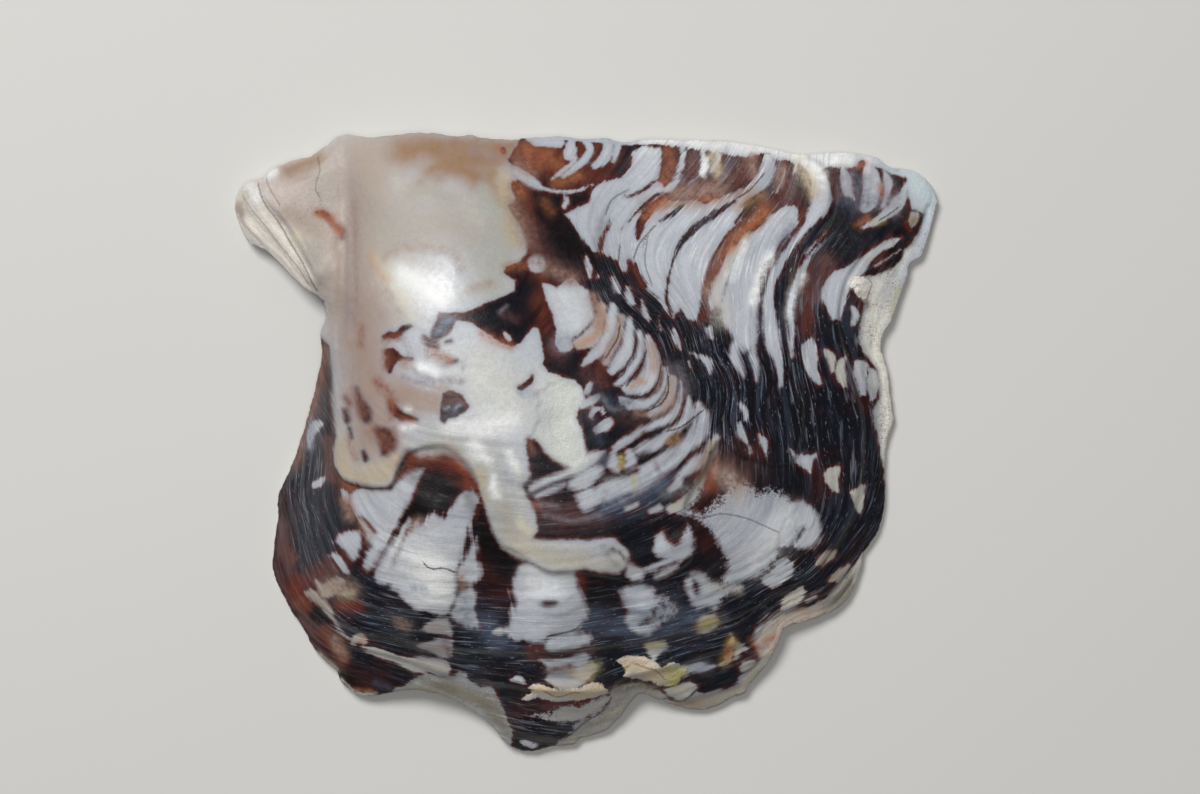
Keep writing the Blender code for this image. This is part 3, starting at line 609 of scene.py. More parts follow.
# Pale rim where the dark outer layer stops short
MARGIN = [
    [(926, 204), (940, 204), (944, 222), (934, 245), (928, 258), (916, 268), (914, 278), (908, 298),
     (900, 322), (892, 337), (890, 350), (894, 372), (900, 392), (902, 418), (896, 440), (892, 455),
     (892, 484), (886, 484), (884, 465), (880, 445), (876, 425), (874, 410), (880, 396), (879, 380),
     (877, 370), (870, 360), (863, 352), (859, 340), (861, 322), (865, 303), (857, 296), (851, 286),
     (858, 277), (880, 273), (893, 267), (900, 259), (903, 249), (912, 243), (918, 233), (922, 222)],
    [(864, 552), (875, 556), (866, 575), (862, 598), (846, 616), (815, 626), (790, 634), (788, 646),
     (776, 668), (757, 692), (752, 701), (735, 707), (712, 717), (695, 719), (672, 713), (652, 704),
     (641, 700), (638, 703), (627, 724), (607, 741), (584, 748), (575, 754), (556, 750), (558, 740),
     (566, 736), (575, 731), (573, 724), (585, 720), (600, 712), (608, 705), (612, 697), (608, 692),
     (615, 686), (625, 684), (640, 683), (650, 686), (660, 691), (668, 698), (676, 702), (688, 698),
     (695, 690), (703, 694), (715, 692), (728, 690), (738, 685), (741, 675), (752, 668), (760, 658),
     (757, 648), (752, 640), (755, 628), (768, 620), (780, 612), (795, 608), (810, 607), (825, 600),
     (833, 590), (838, 582), (846, 572), (855, 563), (860, 557)],
    [(392, 690), (402, 687), (410, 682), (422, 675), (435, 675), (450, 678), (458, 672), (465, 674),
     (470, 683), (480, 687), (492, 685), (497, 697), (503, 708), (507, 722), (513, 730), (512, 742),
     (509, 750), (495, 742), (484, 726), (468, 714), (452, 706), (436, 698), (415, 696), (395, 696)],
    [(311, 647, 0.6), (317, 655, 1.4), (324, 663, 2), (333, 676, 1.2), (342, 688, 1.4), (357, 696, 2),
     (375, 698, 2)],
]

# Chalky crust that grew or dried on the valve
CRUSTS = [
    [(616, 661), (622, 657), (635, 656), (645, 656), (655, 661), (663, 667), (667, 662), (673, 661),
     (682, 665), (690, 669), (683, 675), (680, 681), (676, 685), (668, 687), (658, 686), (652, 681),
     (645, 682), (637, 679), (628, 678), (623, 677), (626, 670), (622, 665)],
    [(520, 699), (527, 694), (533, 690), (528, 687), (533, 683), (542, 683), (549, 686), (556, 688),
     (566, 689), (578, 687), (586, 685), (592, 682), (600, 683), (607, 688), (610, 692), (603, 695),
     (592, 698), (575, 701), (557, 701), (545, 699), (538, 696), (530, 700)],
    [(852, 285, 3), (857, 280, 4), (866, 284, 5), (863, 294, 5), (858, 291, 4)],
    [(521, 741, 2), (528, 744, 4), (534, 747, 2.5)],
    [(514, 678, 2), (520, 679, 3)],
]

# Cracks and hairline seams, and painted shadow lines under the ear's strata and the young shell's lip: how
# dark each is, and its line
SEAMS_AND_SHADOW_LINES = [
    # Painted shadow line under the free edge of an ear stratum
    (0.55, [(258, 183), (262, 197), (267, 207), (275, 217), (283, 229), (290, 242), (297, 253), (304, 265),
        (316, 290)]),
    (0.4, [(266, 178), (270, 188), (280, 205)]),
    # Painted shadow line under the free edge of an ear stratum
    (0.35, [(244, 197), (252, 210), (262, 222), (270, 232), (279, 244), (290, 257), (300, 270),
        (308, 284)]),
    (0.25, [(240, 221), (247, 228), (255, 236), (262, 244)]),
    (0.4, [(318, 158), (320, 170), (317, 182), (316, 190), (320, 197)]),
    # Painted shadow line under the lip of the young shell
    (0.8, [(333, 452), (334, 466), (344, 481), (358, 487), (372, 489), (390, 488)]),
    (0.8, [(424, 563), (428, 567), (434, 569), (441, 568), (447, 569), (454, 572)]),
    (0.5, [(682, 513), (702, 518), (722, 514), (745, 518), (760, 524), (778, 532)]),
    (0.6, [(822, 532), (812, 546), (799, 556), (786, 564)]),
    (0.9, [(636, 338), (634, 353), (627, 364), (624, 374), (615, 380)]),
    (0.8, [(620, 326), (618, 338), (612, 348), (606, 358)]),
    (0.8, [(646, 352), (642, 366), (634, 376), (627, 386)]),
    (0.8, [(661, 366), (658, 382), (650, 394), (636, 398), (624, 396)]),
    (0.9, [(668, 376), (668, 392), (661, 404), (648, 411)]),
    (0.8, [(702, 411), (690, 421), (679, 428), (668, 431)]),
    (0.7, [(655, 226), (640, 243), (634, 258)]),
    (0.8, [(764, 174), (750, 190), (738, 198)]),
    (0.7, [(620, 246), (618, 266)]),
    (0.7, [(898, 208), (890, 214), (880, 220)]),
    (0.8, [(684, 240), (676, 255), (671, 268), (668, 284), (667, 300), (671, 316)]),
    (0.5, [(606, 214), (612, 200), (628, 190)]),
    (0.5, [(648, 236), (645, 262), (652, 284)]),
    (0.5, [(545, 690), (553, 695), (562, 696), (572, 692), (580, 692)]),
    (0.5, [(636, 664), (648, 668), (656, 670), (664, 678)]),
    (0.6, [(655, 689), (668, 687), (676, 684)]),
    (0.7, [(664, 700), (676, 702), (686, 699), (696, 690)]),
    (0.7, [(548, 636), (560, 633), (572, 631), (580, 626)]),
    (0.6, [(566, 737), (575, 731), (586, 722), (602, 712), (611, 699)]),
]

# Airbrushed tints wander off their lines by this much
WANDER = 4.0
# A seam or painted shadow line is looked for within this distance
LINE_REACH = 5.0

# Tints of the pale layer, with two painted highlights among them: colour, half width and places, each laid
# over the ones before it
PALE_TINTS = [
    ("ear_grey", 70, [(240, 200), (300, 200), (335, 250)]),
    ("ear_white", 17, [(246, 208), (266, 236), (296, 272)]),
    ("bright_white", 9, [(250, 188), (256, 196)]),
    ("bright_white", 5, [(269, 175), (276, 171)]),
    ("ear_white", 8, [(254, 219), (266, 236), (281, 255), (294, 272), (305, 286)]),
    ("ear_white", 4, [(276, 224), (288, 246), (302, 270)]),
    ("cream_yellow", 3, [(244, 193), (246, 197)]),
    ("pale_tan", 5, [(238, 204), (242, 214)]),
    ("cream_grey", 16, [(318, 170), (334, 180), (330, 200)]),
    ("pale_tan", 10, [(290, 214), (306, 222), (318, 232)]),
    ("cream_yellow", 5, [(296, 236), (302, 246)]),
    ("tan", 10, [(290, 172), (316, 160)]),
    ("pearl_grey", 12, [(314, 250), (328, 276)]),
    ("fawn", 5, [(338, 240), (341, 300)]),
    ("pale_tan", 40, [(362, 160), (372, 230), (365, 290)]),
    ("pearl_grey", 34, [(400, 232), (440, 222), (490, 235)]),
    ("pearl_shade", 22, [(484, 190), (500, 220), (492, 285)]),
    ("tan", 19, [(404, 150), (428, 146), (452, 156), (492, 152)]),
    ("tan", 14, [(458, 146), (484, 158), (512, 148)]),
    ("tan", 11, [(432, 172), (450, 164), (474, 176)]),
    ("fawn", 7, [(474, 150), (498, 158)]),
    ("tan", 8, [(492, 176), (504, 196)]),
    ("cream_grey", 9, [(398, 182), (414, 190)]),
    ("cream_grey", 8, [(448, 196), (470, 204), (478, 222)]),
    ("fawn", 7, [(420, 186), (436, 180)]),
    ("pearl_grey", 9, [(410, 196), (430, 186), (452, 200)]),
    ("cream_tan", 9, [(503, 180), (514, 240)]),
    ("pinkish_grey", 12, [(350, 170), (352, 280)]),
    # Painted highlight on the upper left of the dome
    ("bright_white", 22, [(405, 285), (440, 290)]),
    ("pinkish_tan", 34, [(358, 320), (368, 390), (372, 440)]),
    ("pinkish_tan", 18, [(400, 395), (432, 400)]),
    ("lilac_white", 16, [(410, 345), (430, 372), (455, 345)]),
    ("pearl_shade", 24, [(440, 446), (478, 458), (500, 505), (508, 530)]),
    ("bright_white", 7, [(474, 444), (486, 460)]),
    ("bright_white", 5, [(492, 476), (496, 494)]),
    ("cream_tan", 5, [(478, 474), (484, 500)]),
    ("pearl_grey", 8, [(502, 512), (518, 540)]),
    ("cream_yellow", 5, [(520, 518), (530, 534)]),
    ("bright_white", 5, [(508, 452), (516, 470)]),
    ("cream_grey", 7, [(520, 478), (528, 500)]),
    ("bright_white", 24, [(404, 540), (430, 556), (438, 590)]),
    ("cool_white", 14, [(564, 296), (576, 322)]),
    ("cream_tan", 13, [(338, 446), (344, 470), (362, 478), (386, 473), (396, 462)]),
    ("warm_cream", 34, [(480, 370), (505, 400)]),
    # Painted highlight: the glare along the crest of the dome
    ("bright_white", 10, [(450, 426), (480, 427), (512, 420)]),
    ("chalk", 24, [(560, 390), (566, 412), (560, 434), (568, 456)]),
    ("cream", 15, [(520, 548), (560, 560), (580, 562)]),
    ("cream_grey", 12, [(592, 568), (625, 562)]),
    ("bright_white", 12, [(650, 140), (733, 143), (800, 155), (862, 160)]),
    ("ear_white", 8, [(800, 160), (814, 176)]),
    ("tan", 9, [(648, 206), (700, 200), (745, 192)]),
    ("orange_tan", 7, [(601, 306), (600, 328), (592, 341), (578, 346)]),
    ("pinkish_tan", 5, [(622, 320), (617, 338), (609, 351), (604, 362)]),
    ("pinkish_tan", 8, [(652, 345), (656, 366)]),
    ("orange_tan", 3.5, [(632, 388), (642, 380)]),
    ("pinkish_tan", 5, [(672, 380), (670, 395), (662, 405)]),
    ("cream", 6, [(718, 442), (705, 471), (690, 496), (671, 509)]),
    ("tan", 8, [(712, 446), (700, 478)]),
    ("blue_grey", 10, [(630, 610), (655, 618)]),
    ("blue_grey", 10, [(870, 372), (875, 396)]),
    ("cream_grey", 12, [(365, 650), (400, 660), (446, 668)]),
    ("pinkish_grey", 10, [(425, 625), (448, 628)]),
    ("pinkish_grey", 10, [(420, 645), (450, 650)]),
    ("shade_grey", 6, [(412, 478), (420, 476)]),
    ("shade_grey", 7, [(468, 496), (472, 508)]),
    ("cream_tan", 12, [(305, 596), (330, 600), (336, 618)]),
    ("cream_tan", 12, [(318, 584), (342, 584)]),
    ("cream_tan", 9, [(353, 641), (363, 639)]),
    ("olive", 11, [(699, 626), (716, 620)]),
    ("yellow", 9, [(733, 640), (730, 655), (723, 664)]),
    ("ochre", 9, [(818, 562), (834, 553)]),
    ("ochre", 8, [(832, 578), (847, 569)]),
    ("fawn", 6, [(913, 216), (914, 226)]),
    ("olive", 7, [(645, 646), (667, 642)]),
    ("cream_yellow", 12, [(852, 492), (862, 505)]),
    ("cream_yellow", 8, [(829, 354), (832, 370)]),
    ("cream_yellow", 8, [(842, 360), (842, 384)]),
    ("cream_yellow", 12, [(784, 606), (804, 590)]),
    ("cream_yellow", 10, [(832, 470), (834, 488)]),
    ("rim_cream", 16, [(880, 260), (875, 300), (876, 350), (890, 390), (892, 440), (890, 484)]),
    ("margin_grey", 18, [(866, 560), (845, 595), (800, 620), (770, 650), (740, 690), (700, 706),
        (650, 694)]),
    ("pale_tan", 14, [(812, 612), (782, 624), (764, 646)]),
    ("cream_grey", 6, [(860, 560), (857, 580)]),
    ("cream_grey", 9, [(668, 692), (684, 690), (696, 684)]),
    ("margin_grey", 16, [(630, 700), (600, 725), (565, 742)]),
    ("margin_grey", 14, [(400, 692), (450, 690), (490, 705), (508, 735)]),
    ("rim_cream", 10, [(905, 240), (896, 262), (880, 270)]),
    ("nacre_white", 18, [(908, 182), (924, 192), (932, 204)]),
    ("crust", 12, [(624, 666), (640, 664), (656, 674)]),
    ("olive", 9, [(668, 668), (680, 672), (672, 682)]),
    ("crust", 8, [(525, 691), (545, 686), (575, 694), (606, 686)]),
    ("ear_white", 8, [(856, 282), (862, 292)]),
    ("cream_grey", 8, [(545, 715), (575, 713), (605, 702)]),
]

# Tints of the dark layer, in the same form
DARK_TINTS = [
    ("slate_black", 60, [(300, 420), (310, 540)]),
    ("orange_brown", 8, [(321, 352), (313, 392), (303, 428), (292, 462)]),
    ("mauve_brown", 7, [(277, 500), (274, 560), (279, 585)]),
    ("dark_red", 16, [(281, 500), (277, 560), (285, 600)]),
    ("red_brown", 6, [(296, 578), (309, 582)]),
    ("orange_brown", 5, [(296, 605), (306, 611)]),
    ("dark_plum", 8, [(306, 607), (320, 616)]),
    ("mauve_brown", 8, [(302, 624), (324, 632)]),
    ("red_brown", 6, [(322, 640), (332, 646)]),
    ("dark_red", 12, [(352, 678), (385, 682)]),
    ("brown_black", 8, [(340, 668), (350, 680)]),
    ("rust", 10, [(322, 215), (340, 236)]),
    ("rust", 6, [(503, 148), (504, 154)]),
    ("rust", 8, [(515, 185), (522, 196)]),
    ("orange_brown", 12, [(520, 150), (560, 154)]),
    ("rust", 14, [(525, 165), (560, 168), (600, 178)]),
    ("rust", 8, [(580, 144), (580, 160)]),
    ("rust", 8, [(596, 142), (596, 158)]),
    ("rust", 8, [(612, 144), (611, 160)]),
    ("rust", 12, [(524, 205), (530, 240), (545, 275)]),
    ("brown_black", 16, [(552, 215), (575, 255)]),
    ("rust", 12, [(668, 150), (666, 182)]),
    ("rust", 12, [(690, 165), (688, 196)]),
    ("mauve_brown", 14, [(700, 158), (752, 160)]),
    ("rust", 12, [(700, 190), (740, 178), (760, 160)]),
    ("rust", 7, [(684, 190), (655, 206), (638, 238)]),
    ("rust", 7, [(637, 266), (643, 284)]),
    ("rust", 5, [(606, 232), (601, 252)]),
    ("rust", 10, [(742, 225), (722, 252), (708, 286), (703, 316)]),
    ("mauve_brown", 7, [(716, 262), (708, 290)]),
    ("rust", 12, [(784, 165), (782, 200), (768, 212)]),
    ("orange_brown", 8, [(742, 232), (758, 216), (768, 206)]),
    ("rust", 8, [(806, 264), (806, 330)]),
    ("mauve_brown", 10, [(824, 262), (830, 296)]),
    ("rust", 6, [(802, 212), (786, 240), (768, 268)]),
    ("ember", 12, [(400, 474), (409, 453), (440, 454), (458, 464), (472, 484)]),
    ("red_brown", 6, [(430, 466), (450, 469), (462, 482)]),
    ("brown_black", 5, [(399, 474), (404, 464)]),
    ("brown_black", 16, [(404, 524), (426, 492), (446, 488)]),
    ("dark_red", 20, [(480, 570), (500, 592)]),
    ("brown_black", 13, [(478, 510), (488, 540), (508, 566)]),
    ("brown_black", 14, [(600, 580), (600, 600)]),
    ("red_brown", 6, [(576, 572), (580, 588)]),
    ("mauve_brown", 24, [(712, 470), (735, 470)]),
    ("orange_brown", 9, [(708, 486), (714, 466)]),
    ("dark_red", 14, [(684, 506), (708, 512), (708, 545)]),
    ("dark_red", 10, [(815, 462), (824, 494)]),
    ("dark_red", 9, [(856, 398), (870, 408)]),
    ("orange_brown", 7, [(326, 632), (337, 646), (342, 658)]),
    ("mauve_brown", 7, [(306, 622), (318, 648), (330, 664)]),
    ("orange_brown", 4, [(299, 598), (309, 608)]),
    ("brown_black", 5, [(318, 612), (330, 620)]),
    ("orange_brown", 5, [(286, 548), (290, 560)]),
    ("mauve_brown", 7, [(282, 525), (288, 572)]),
    ("red_brown", 9, [(292, 590), (318, 572), (345, 560)]),
    ("red_brown", 8, [(342, 606), (358, 608)]),
    ("brown_black", 8, [(314, 606), (322, 616)]),
    ("mauve_brown", 8, [(328, 440), (332, 475)]),
    ("orange_brown", 9, [(345, 480), (372, 530)]),
    ("mauve_brown", 15, [(528, 508), (560, 516), (598, 512)]),
    ("slate", 12, [(600, 506), (640, 504)]),
    ("mauve_brown", 6, [(530, 655), (560, 655), (592, 648)]),
    ("red_brown", 5, [(530, 648), (543, 648)]),
    ("red_brown", 7, [(545, 703), (570, 703), (595, 700)]),
    ("dark_red", 12, [(540, 690), (520, 715)]),
    ("slate", 14, [(486, 626), (500, 640)]),
    ("slate", 14, [(590, 620), (640, 632), (700, 618)]),
    ("slate", 8, [(606, 502), (622, 500), (650, 490), (672, 478)]),
    ("dark_plum", 20, [(350, 400), (362, 430), (388, 440)]),
    ("dark_plum", 12, [(392, 360), (452, 400)]),
    ("rust", 8, [(386, 360), (388, 338), (396, 336)]),
    ("mauve_brown", 8, [(452, 396), (464, 402)]),
    ("slate", 12, [(434, 336), (440, 324), (450, 320)]),
    ("dark_plum", 3.5, [(438, 312), (452, 314), (464, 315)]),
    ("rust", 10, [(392, 405), (400, 416), (414, 420)]),
    ("dark_plum", 10, [(425, 345), (455, 340)]),
    ("rust", 10, [(540, 300), (556, 350)]),
    ("rust", 9, [(620, 340), (606, 366)]),
]

# Stains over both layers, with some painted highlights and a painted shadow line among them: colour, cover,
# half width and places
GLAZES = [
    ("blue_grey", 0.5, 9, [(464, 598), (466, 618)]),
    ("fawn", 0.7, 5, [(461, 577), (463, 586)]),
    ("blue_grey", 0.5, 4, [(414, 587), (425, 589)]),
    ("fawn", 0.5, 5, [(362, 524), (370, 536)]),
    ("fawn", 0.7, 6, [(347, 500), (350, 516)]),
    ("mauve_brown", 0.5, 4, [(366, 541), (368, 546)]),
    ("mauve_grey", 0.5, 4, [(392, 540), (378, 562)]),
    ("fawn", 0.6, 5, [(412, 528), (420, 520)]),
    ("mauve_grey", 0.4, 6, [(424, 526), (436, 522)]),
    # Painted highlight along the top of the white block
    ("bright_white", 0.5, 12, [(535, 580), (556, 588)]),
    ("fawn", 0.5, 4, [(550, 669), (572, 668)]),
    ("olive", 0.6, 5, [(586, 666), (596, 667)]),
    ("crust", 0.7, 6, [(575, 674), (588, 676)]),
    ("blue_grey", 0.4, 6, [(695, 666), (708, 666)]),
    ("dark_olive", 0.7, 5, [(620, 689), (640, 685), (655, 688)]),
    ("dark_olive", 0.4, 7, [(425, 684), (450, 690)]),
    ("dark_olive", 0.35, 9, [(486, 706), (500, 725)]),
    ("blue_grey", 0.4, 10, [(655, 606), (668, 608)]),
    ("fawn", 0.8, 9, [(330, 585), (350, 590)]),
    ("cream_tan", 0.8, 5, [(345, 592), (350, 594)]),
    ("ember", 0.5, 5, [(342, 602), (357, 606)]),
    ("ember", 0.35, 7, [(294, 590), (305, 606)]),
    ("pinkish_tan", 0.5, 4, [(334, 640), (338, 652)]),
    ("pinkish_tan", 0.4, 3, [(318, 600), (327, 605)]),
    ("copper", 0.4, 3, [(362, 642), (365, 638)]),
    ("fawn", 0.5, 5, [(398, 622), (408, 626)]),
    ("blue_grey", 0.6, 5, [(312, 424), (310, 446)]),
    ("fawn", 0.7, 9, [(712, 468), (728, 478), (738, 486)]),
    ("ember", 0.4, 5, [(709, 472), (712, 488)]),
    ("pinkish_grey", 0.5, 9, [(728, 478), (738, 496)]),
    ("bright_white", 0.4, 14, [(755, 560), (790, 520)]),
    ("ochre", 0.5, 6, [(699, 627), (715, 620)]),
    ("ochre", 0.6, 5, [(724, 662), (732, 640)]),
    ("copper", 0.8, 4, [(727, 656), (731, 648)]),
    ("dark_olive", 0.4, 7, [(838, 600), (850, 580)]),
    ("copper", 0.6, 4, [(766, 642), (775, 638)]),
    ("copper", 0.5, 4, [(752, 640), (758, 650)]),
    ("copper", 0.5, 3, [(798, 610), (806, 610)]),
    ("fawn", 0.5, 5, [(675, 706), (700, 704)]),
    ("cream_grey", 0.6, 5, [(712, 586), (738, 590)]),
    ("mauve_brown", 0.5, 3.5, [(445, 638), (450, 655)]),
    # Painted shadow along the crease between the ear and the dome
    ("fawn", 0.35, 6, [(354, 205), (356, 325)]),
    ("copper", 0.7, 6, [(319, 213), (331, 219), (340, 232)]),
    # Painted highlight: peach, pale yellow and pink streaks at the left edge of the dome's highlight
    ("orange_tan", 0.55, 5, [(370, 256), (378, 266), (386, 280)]),
    ("cream_yellow", 0.35, 7, [(380, 260), (390, 276), (402, 296)]),
    ("pinkish_tan", 0.35, 5, [(386, 290), (396, 304), (402, 318)]),
    ("cream_yellow", 0.4, 7, [(404, 300), (414, 320)]),
    ("blue_grey", 0.5, 3, [(436, 333), (442, 324), (450, 320)]),
    ("mauve_grey", 0.6, 4, [(404, 377), (420, 384), (440, 380), (462, 382)]),
    ("copper", 0.6, 3, [(437, 350), (446, 357), (453, 362)]),
    ("mauve_grey", 0.5, 4, [(428, 372), (444, 366)]),
    ("shade_grey", 0.4, 4, [(404, 340), (410, 352), (406, 362)]),
    ("slate", 0.7, 2.2, [(437, 332), (446, 333)]),
    ("slate", 0.8, 2.2, [(443, 419), (450, 415), (456, 413)]),
    ("blue_grey", 0.9, 1.8, [(445, 408), (450, 407)]),
    ("blue_grey", 0.9, 1.8, [(455, 409), (460, 405)]),
    ("pinkish_tan", 0.6, 4, [(436, 389), (447, 389)]),
    ("pinkish_tan", 0.5, 7, [(428, 394), (436, 404)]),
    ("pinkish_tan", 0.45, 7, [(404, 392), (418, 404)]),
    ("pinkish_tan", 0.7, 5, [(403, 363), (410, 365)]),
    ("pinkish_grey", 0.4, 5, [(420, 455), (436, 453)]),
    ("brown_black", 0.7, 9, [(436, 474), (430, 490), (412, 512)]),
    ("fawn", 0.5, 4, [(446, 446), (456, 452), (464, 464)]),
    ("rust", 0.7, 2.6, [(416, 518), (410, 527), (405, 536)]),
    ("mauve_grey", 0.6, 2.4, [(404, 540), (396, 556), (392, 568)]),
    ("mauve_grey", 0.5, 3, [(384, 552), (376, 566)]),
    ("dark_plum", 0.9, 3, [(545, 603), (555, 602)]),
    ("fawn", 0.6, 5, [(337, 640), (345, 654)]),
    ("mauve_brown", 0.5, 4, [(275, 566), (280, 588)]),
    ("pinkish_grey", 0.7, 3, [(319, 655), (326, 662), (336, 671)]),
    ("cream_grey", 0.7, 1.8, [(340, 680), (350, 690), (362, 695), (374, 694)]),
    ("copper", 0.6, 2.5, [(356, 689), (370, 691)]),
    ("slate", 0.6, 4, [(376, 682), (388, 688)]),
    ("slate", 0.8, 5, [(604, 456), (602, 464)]),
    ("slate", 0.6, 2.2, [(531, 494), (550, 486), (572, 477)]),
    ("blue_grey", 0.5, 6, [(606, 502), (620, 498)]),
    ("shade_grey", 0.4, 6, [(664, 494), (684, 488)]),
    ("copper", 0.5, 3, [(534, 506), (542, 505)]),
    ("copper", 0.6, 3, [(596, 695), (604, 692)]),
    ("slate", 0.5, 3, [(603, 689), (609, 688)]),
    ("mauve_grey", 0.5, 5, [(550, 671), (570, 671)]),
    ("mauve_grey", 0.6, 3, [(655, 463), (662, 475)]),
    ("slate", 0.5, 7, [(594, 392), (612, 406), (630, 402)]),
    ("shade_grey", 0.4, 3, [(602, 398), (613, 411), (624, 408)]),
    ("red_brown", 0.5, 5, [(596, 372), (606, 384)]),
    ("dark_plum", 0.7, 2.5, [(612, 549), (621, 553), (627, 561)]),
    ("shade_grey", 0.5, 4, [(604, 548), (616, 566)]),
    ("rust_tan", 0.5, 7, [(355, 392), (362, 412)]),
    ("rust_tan", 0.5, 8, [(376, 430), (392, 446)]),
    ("mauve_brown", 0.5, 5, [(506, 315), (516, 320)]),
    ("mauve_grey", 0.35, 2.5, [(500, 312), (507, 306)]),
    ("fawn", 0.55, 5, [(534, 262), (540, 266)]),
    ("mauve_grey", 0.4, 8, [(676, 370), (684, 390)]),
    ("slate", 0.55, 8, [(840, 198), (856, 206), (874, 200)]),
    ("slate", 0.5, 6, [(862, 180), (860, 196)]),
    ("mauve_grey", 0.4, 6, [(880, 206), (894, 198)]),
    ("slate", 0.4, 6, [(790, 226), (778, 244)]),
    ("mauve_grey", 0.4, 3, [(546, 515), (572, 521), (600, 516)]),
    ("mauve_grey", 0.4, 3, [(540, 503), (556, 506)]),
    ("olive", 0.7, 3, [(633, 477), (635, 488)]),
    ("shade_grey", 0.5, 4, [(606, 480), (622, 477)]),
    ("mauve_grey", 0.4, 4, [(678, 451), (664, 460)]),
    ("shade_grey", 0.5, 3, [(604, 492), (603, 503)]),
    ("shade_grey", 0.4, 4, [(640, 484), (650, 478)]),
    ("mauve_grey", 0.4, 3, [(694, 428), (686, 440)]),
    ("pinkish_tan", 0.4, 5, [(384, 258), (400, 248), (430, 246), (452, 252), (462, 268)]),
    # Painted highlight on the dome
    ("bright_white", 0.6, 8, [(402, 272), (420, 285), (442, 304)]),
    ("tan", 0.4, 5, [(470, 290), (490, 284)]),
    ("rust_tan", 0.55, 4.5, [(362, 328), (361, 345)]),
    ("mauve_grey", 0.4, 6, [(350, 300), (350, 325)]),
    ("rust_tan", 0.55, 5, [(386, 341), (399, 337)]),
    ("rust_tan", 0.6, 4, [(385, 352), (386, 368)]),
    ("rust_tan", 0.75, 6, [(378, 382), (388, 392), (393, 402)]),
    ("rust_tan", 0.6, 5, [(390, 404), (391, 418)]),
    ("rust_tan", 0.5, 5, [(405, 421), (414, 422)]),
    ("rust_tan", 0.45, 4, [(346, 396), (350, 407)]),
    ("rust_tan", 0.45, 4, [(348, 442), (357, 457)]),
    ("rust_tan", 0.5, 4, [(395, 428), (399, 440)]),
    ("bright_white", 0.6, 3.5, [(404, 427), (414, 427)]),
    ("bright_white", 0.5, 3, [(407, 408), (410, 408)]),
    ("mauve_brown", 0.85, 5, [(427, 343), (437, 347)]),
    ("fawn", 0.8, 5.5, [(430, 354), (448, 359)]),
    ("mauve_grey", 0.5, 3, [(462, 362), (463, 369)]),
    ("bright_white", 0.8, 6, [(421, 366), (436, 372)]),
    ("mauve_grey", 0.5, 2.5, [(414, 369), (421, 376), (433, 379)]),
    ("copper", 0.5, 5, [(482, 334), (498, 342), (512, 347)]),
    ("blue_grey", 0.5, 5, [(522, 394), (531, 395)]),
    ("blue_grey", 0.4, 6, [(505, 476), (522, 481)]),
    ("rust_tan", 0.6, 4, [(529, 440), (533, 452)]),
    ("blue_grey", 0.5, 9, [(560, 345), (566, 340)]),
    ("fawn", 0.5, 4, [(620, 322), (612, 346), (604, 360)]),
    ("fawn", 0.4, 5, [(661, 372), (657, 388)]),
    ("fawn", 0.6, 4, [(636, 412), (652, 416), (664, 411), (674, 398)]),
    ("tan", 0.75, 5, [(669, 442), (677, 437)]),
    ("yellow", 0.7, 3, [(622, 458), (621, 466)]),
    ("slate", 0.4, 6, [(590, 414), (600, 440)]),
    ("mauve_brown", 0.5, 8, [(586, 372), (602, 384)]),
    ("mauve_brown", 0.4, 8, [(622, 414), (640, 420)]),
    ("copper", 0.7, 5, [(500, 149), (504, 154)]),
    ("fawn", 0.6, 8, [(518, 164), (529, 173)]),
    ("copper", 0.6, 6, [(556, 183), (566, 182), (578, 176)]),
    ("copper", 0.5, 9, [(528, 150), (533, 162), (548, 158), (556, 164)]),
    ("copper", 0.6, 7, [(514, 185), (521, 193)]),
    ("fawn", 0.6, 9, [(511, 204), (520, 222), (527, 242)]),
    ("copper", 0.3, 5, [(543, 201), (551, 212)]),
    ("mauve_brown", 0.6, 10, [(533, 232), (540, 252), (556, 268), (572, 276)]),
    ("fawn", 0.55, 7, [(548, 268), (572, 280)]),
    ("copper", 0.5, 6, [(508, 267), (522, 266)]),
    ("fawn", 0.8, 6, [(592, 298), (598, 312), (599, 328)]),
    ("mauve_grey", 0.5, 4, [(601, 222), (596, 244)]),
    ("copper", 0.45, 6, [(669, 150), (671, 165), (662, 182)]),
    # Painted highlight: a silver-white glint on the wing
    ("bright_white", 0.8, 3.5, [(706, 160), (703, 175)]),
    ("cream_tan", 0.75, 6, [(713, 156), (718, 172)]),
    ("fawn", 0.7, 5, [(752, 156), (753, 176)]),
    ("fawn", 0.65, 9, [(676, 196), (698, 192), (718, 188)]),
    ("copper", 0.7, 5, [(665, 201), (653, 209), (645, 216)]),
    ("copper", 0.6, 4, [(700, 200), (716, 198)]),
    ("tan", 0.6, 5, [(738, 208), (750, 200), (762, 195)]),
    ("copper", 0.7, 7, [(764, 214), (752, 225), (738, 237), (726, 252)]),
    ("copper", 0.35, 8, [(718, 262), (708, 290)]),
    ("cream_tan", 0.6, 3, [(748, 236), (734, 252), (722, 276)]),
    ("cream_grey", 0.6, 9, [(716, 292), (722, 318)]),
    # Painted highlights: silver-white streaks on the wing's ridges
    ("bright_white", 0.75, 5, [(769, 256), (758, 280), (752, 302)]),
    ("bright_white", 0.55, 4, [(745, 243), (738, 262), (731, 280)]),
    ("bright_white", 0.5, 5, [(802, 276), (793, 296), (790, 316)]),
    ("fawn", 0.6, 7, [(781, 166), (781, 182)]),
    ("cream_tan", 0.75, 8, [(803, 168), (810, 182), (814, 192)]),
    # Painted highlight: white gloss on the pale crescent by the hinge
    ("bright_white", 0.7, 6, [(806, 163), (822, 172), (824, 184)]),
    ("mauve_brown", 0.6, 7, [(788, 186), (798, 198)]),
    ("mauve_brown", 0.75, 7, [(833, 174), (837, 194)]),
    ("mauve_grey", 0.55, 7, [(848, 174), (850, 192)]),
